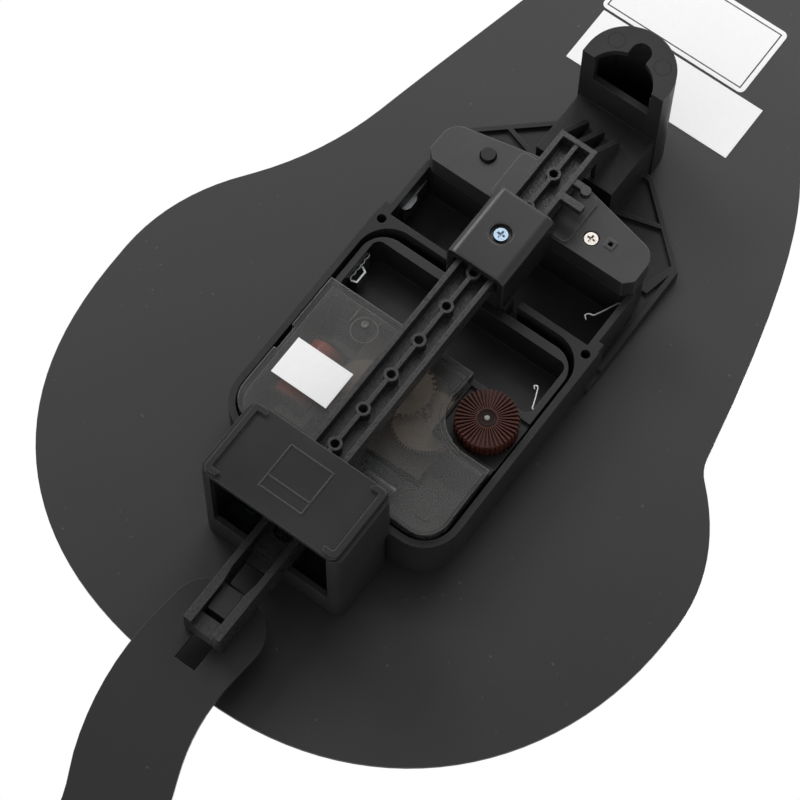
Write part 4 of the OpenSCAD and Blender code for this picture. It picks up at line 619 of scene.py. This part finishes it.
def dressNodes(plan):
    for finish, names in plan.items():
        for name in names:
            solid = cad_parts[name]
            solid.data.materials.clear()
            solid.data.materials.append(finishes[finish])
    bare = set(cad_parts) - {name for names in plan.values() for name in names}
    print("nodes dressed, left bare:", sorted(bare))


dressNodes(wear)


# a finished mesh or curve becomes a piece that rides on a body
def addPiece(name, data, finish, body):
    piece = bpy.data.objects.new(name, data)
    bpy.context.collection.objects.link(piece)
    data.materials.append(finishes[finish])
    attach(piece, body)
    return piece


# round wire through the given points; handles of a share of each run's length round its bends
wireForm = {"bendShare": 0.2, "roundness": 4, "smoothness": 8}


def addWire(name, points, thickness, finish, body):
    curve = bpy.data.curves.new(name, "CURVE")
    curve.dimensions = "3D"
    curve.bevel_depth = thickness / 2000
    curve.bevel_resolution = wireForm["roundness"]
    curve.resolution_u = wireForm["smoothness"]
    line = curve.splines.new("BEZIER")
    line.bezier_points.add(len(points) - 1)
    spots = [place(*p) for p in points]
    for i, (knot, spot) in enumerate(zip(line.bezier_points, spots)):
        before, after = spots[max(i - 1, 0)], spots[min(i + 1, len(spots) - 1)]
        way = (after - before).normalized()
        knot.co = spot
        knot.handle_left = spot - way * (spot - before).length * wireForm["bendShare"]
        knot.handle_right = spot + way * (after - spot).length * wireForm["bendShare"]
    curve.use_fill_caps = True
    return addPiece(name, curve, finish, body)


# the bent contact wires of the two cell bays
wireThickness = 0.5
wires = {
    "bay_contact_spring": [(-26.6, 10.5, 18.2), (-26.6, 10.5, 22), (-26.6, 10.5, 29.6), (-26, 10.5, 30.3),
                           (-25.3, 10.5, 29), (-23.1, 10.5, 24.4), (-22, 10.5, 24), (-21.5, 10.5, 23.2),
                           (-22.3, 10.5, 22.4)],
    "cell_contact_spring": [(-25.7, 10, 7), (-25.7, 10, 2), (-25.7, 10, -1.5), (-25.2, 10, -2),
                            (-24.8, 10, -1), (-23.3, 10, 2.7), (-22.9, 10, 3.1), (-22.3, 10, 2.85),
                            (-22.8, 10, 2.1)],
}
for name, points in wires.items():
    wire = addWire(name + "_wire", points, wireThickness, "contactSteel", "clock")
    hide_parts(name)


# turned form about an axis towards the wall: rings of (radius, rise) from the rim inwards
def turnedForm(name, x, height, depth, rings, steps=48, capped=True):
    mesh = bpy.data.meshes.new(name)
    work = bmesh.new()
    loops = [[work.verts.new(place(x + r * math.cos(a), depth + d, height + r * math.sin(a)))
              for a in (2 * math.pi * i / steps for i in range(steps))] for r, d in rings]
    for low, high in zip(loops, loops[1:]):
        for i in range(steps):
            j = (i + 1) % steps
            work.faces.new((low[i], high[i], high[j], low[j]))
    if capped:
        work.faces.new(loops[-1])
    bmesh.ops.recalc_face_normals(work, faces=work.faces[:])
    for face in work.faces:
        face.smooth = True
    work.to_mesh(mesh)
    work.free()
    return mesh


# a shallow dish in the middle of the knob's face, with the pale end of its axle: (radius, rise) rings
knobFace = {
    "x": -20, "height": -12.1064,
    "dish": [(2.15, -0.3), (2.15, 0.04), (2.05, 0.1), (1.9, 0.1), (1.8, 0.03), (1.2, 0.02), (0.7, 0.02)],
    "axle": [(0.6, -0.2), (0.6, 0.1), (0.5, 0.16), (0.2, 0.18)],
}
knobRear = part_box("setting_knob")[1][1] * 1000 + hanging["wallGap"]
for part, finish, slot in (("dish", "knobFace", "knob_brown"), ("axle", "axleGrey", "natural_plastic")):
    name = "knob_" + part
    mesh = turnedForm(name, knobFace["x"], knobFace["height"], knobRear, knobFace[part])
    addPiece(name, mesh, finish, "knob")
print("wires and knob face ready")


# fine raised marks of the mould on the smoked cover, in a lighter tone that is a painted highlight: a boss
# in a ring, two sides of a square, two arcs
coverMarks = {
    "boss": {"x": 14.6, "height": -9.8, "rings": [(0.95, -0.1), (0.92, 0.16), (0.7, 0.22), (0.35, 0.1)]},
    "ring": {"x": 13.9, "height": -11, "rings": [(3.25, -0.05), (3.15, 0.1), (2.95, 0.1), (2.85, -0.05)]},
    "square": [(17.8, -6.7), (12.1, -6.7), (12.1, -8.2)],
    "squareSide": [(17.8, -6.7), (17.8, -11.5)],
    "arcs": [(10.2, 196, 262), (9.1, 190, 250)],
    "arcSteps": 10,
    "ridge": 0.3,
    "sink": 0.02,
}
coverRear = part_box("movement_cover")[1][1] * 1000 + hanging["wallGap"]
for part in ("boss", "ring"):
    mark = coverMarks[part]
    mesh = turnedForm("cover_" + part, mark["x"], mark["height"], coverRear, mark["rings"],
                      capped=part == "boss")
    addPiece("cover_" + part, mesh, "ridgeHighlight", "clock")
lines = {"cover_square": coverMarks["square"], "cover_square_side": coverMarks["squareSide"]}
steps = coverMarks["arcSteps"]
for number, (reach, start, end) in enumerate(coverMarks["arcs"], 1):
    angles = [math.radians(start + (end - start) * i / steps) for i in range(steps + 1)]
    lines[f"cover_arc_{number}"] = [(knobFace["x"] - reach * math.cos(a),
                                     knobFace["height"] + reach * math.sin(a)) for a in angles]
ridgeDepth = coverRear - coverMarks["sink"]
for name, points in lines.items():
    addWire(name, [(x, ridgeDepth, height) for x, height in points], coverMarks["ridge"],
            "ridgeHighlight", "clock")
print("marks on the smoked cover ready")
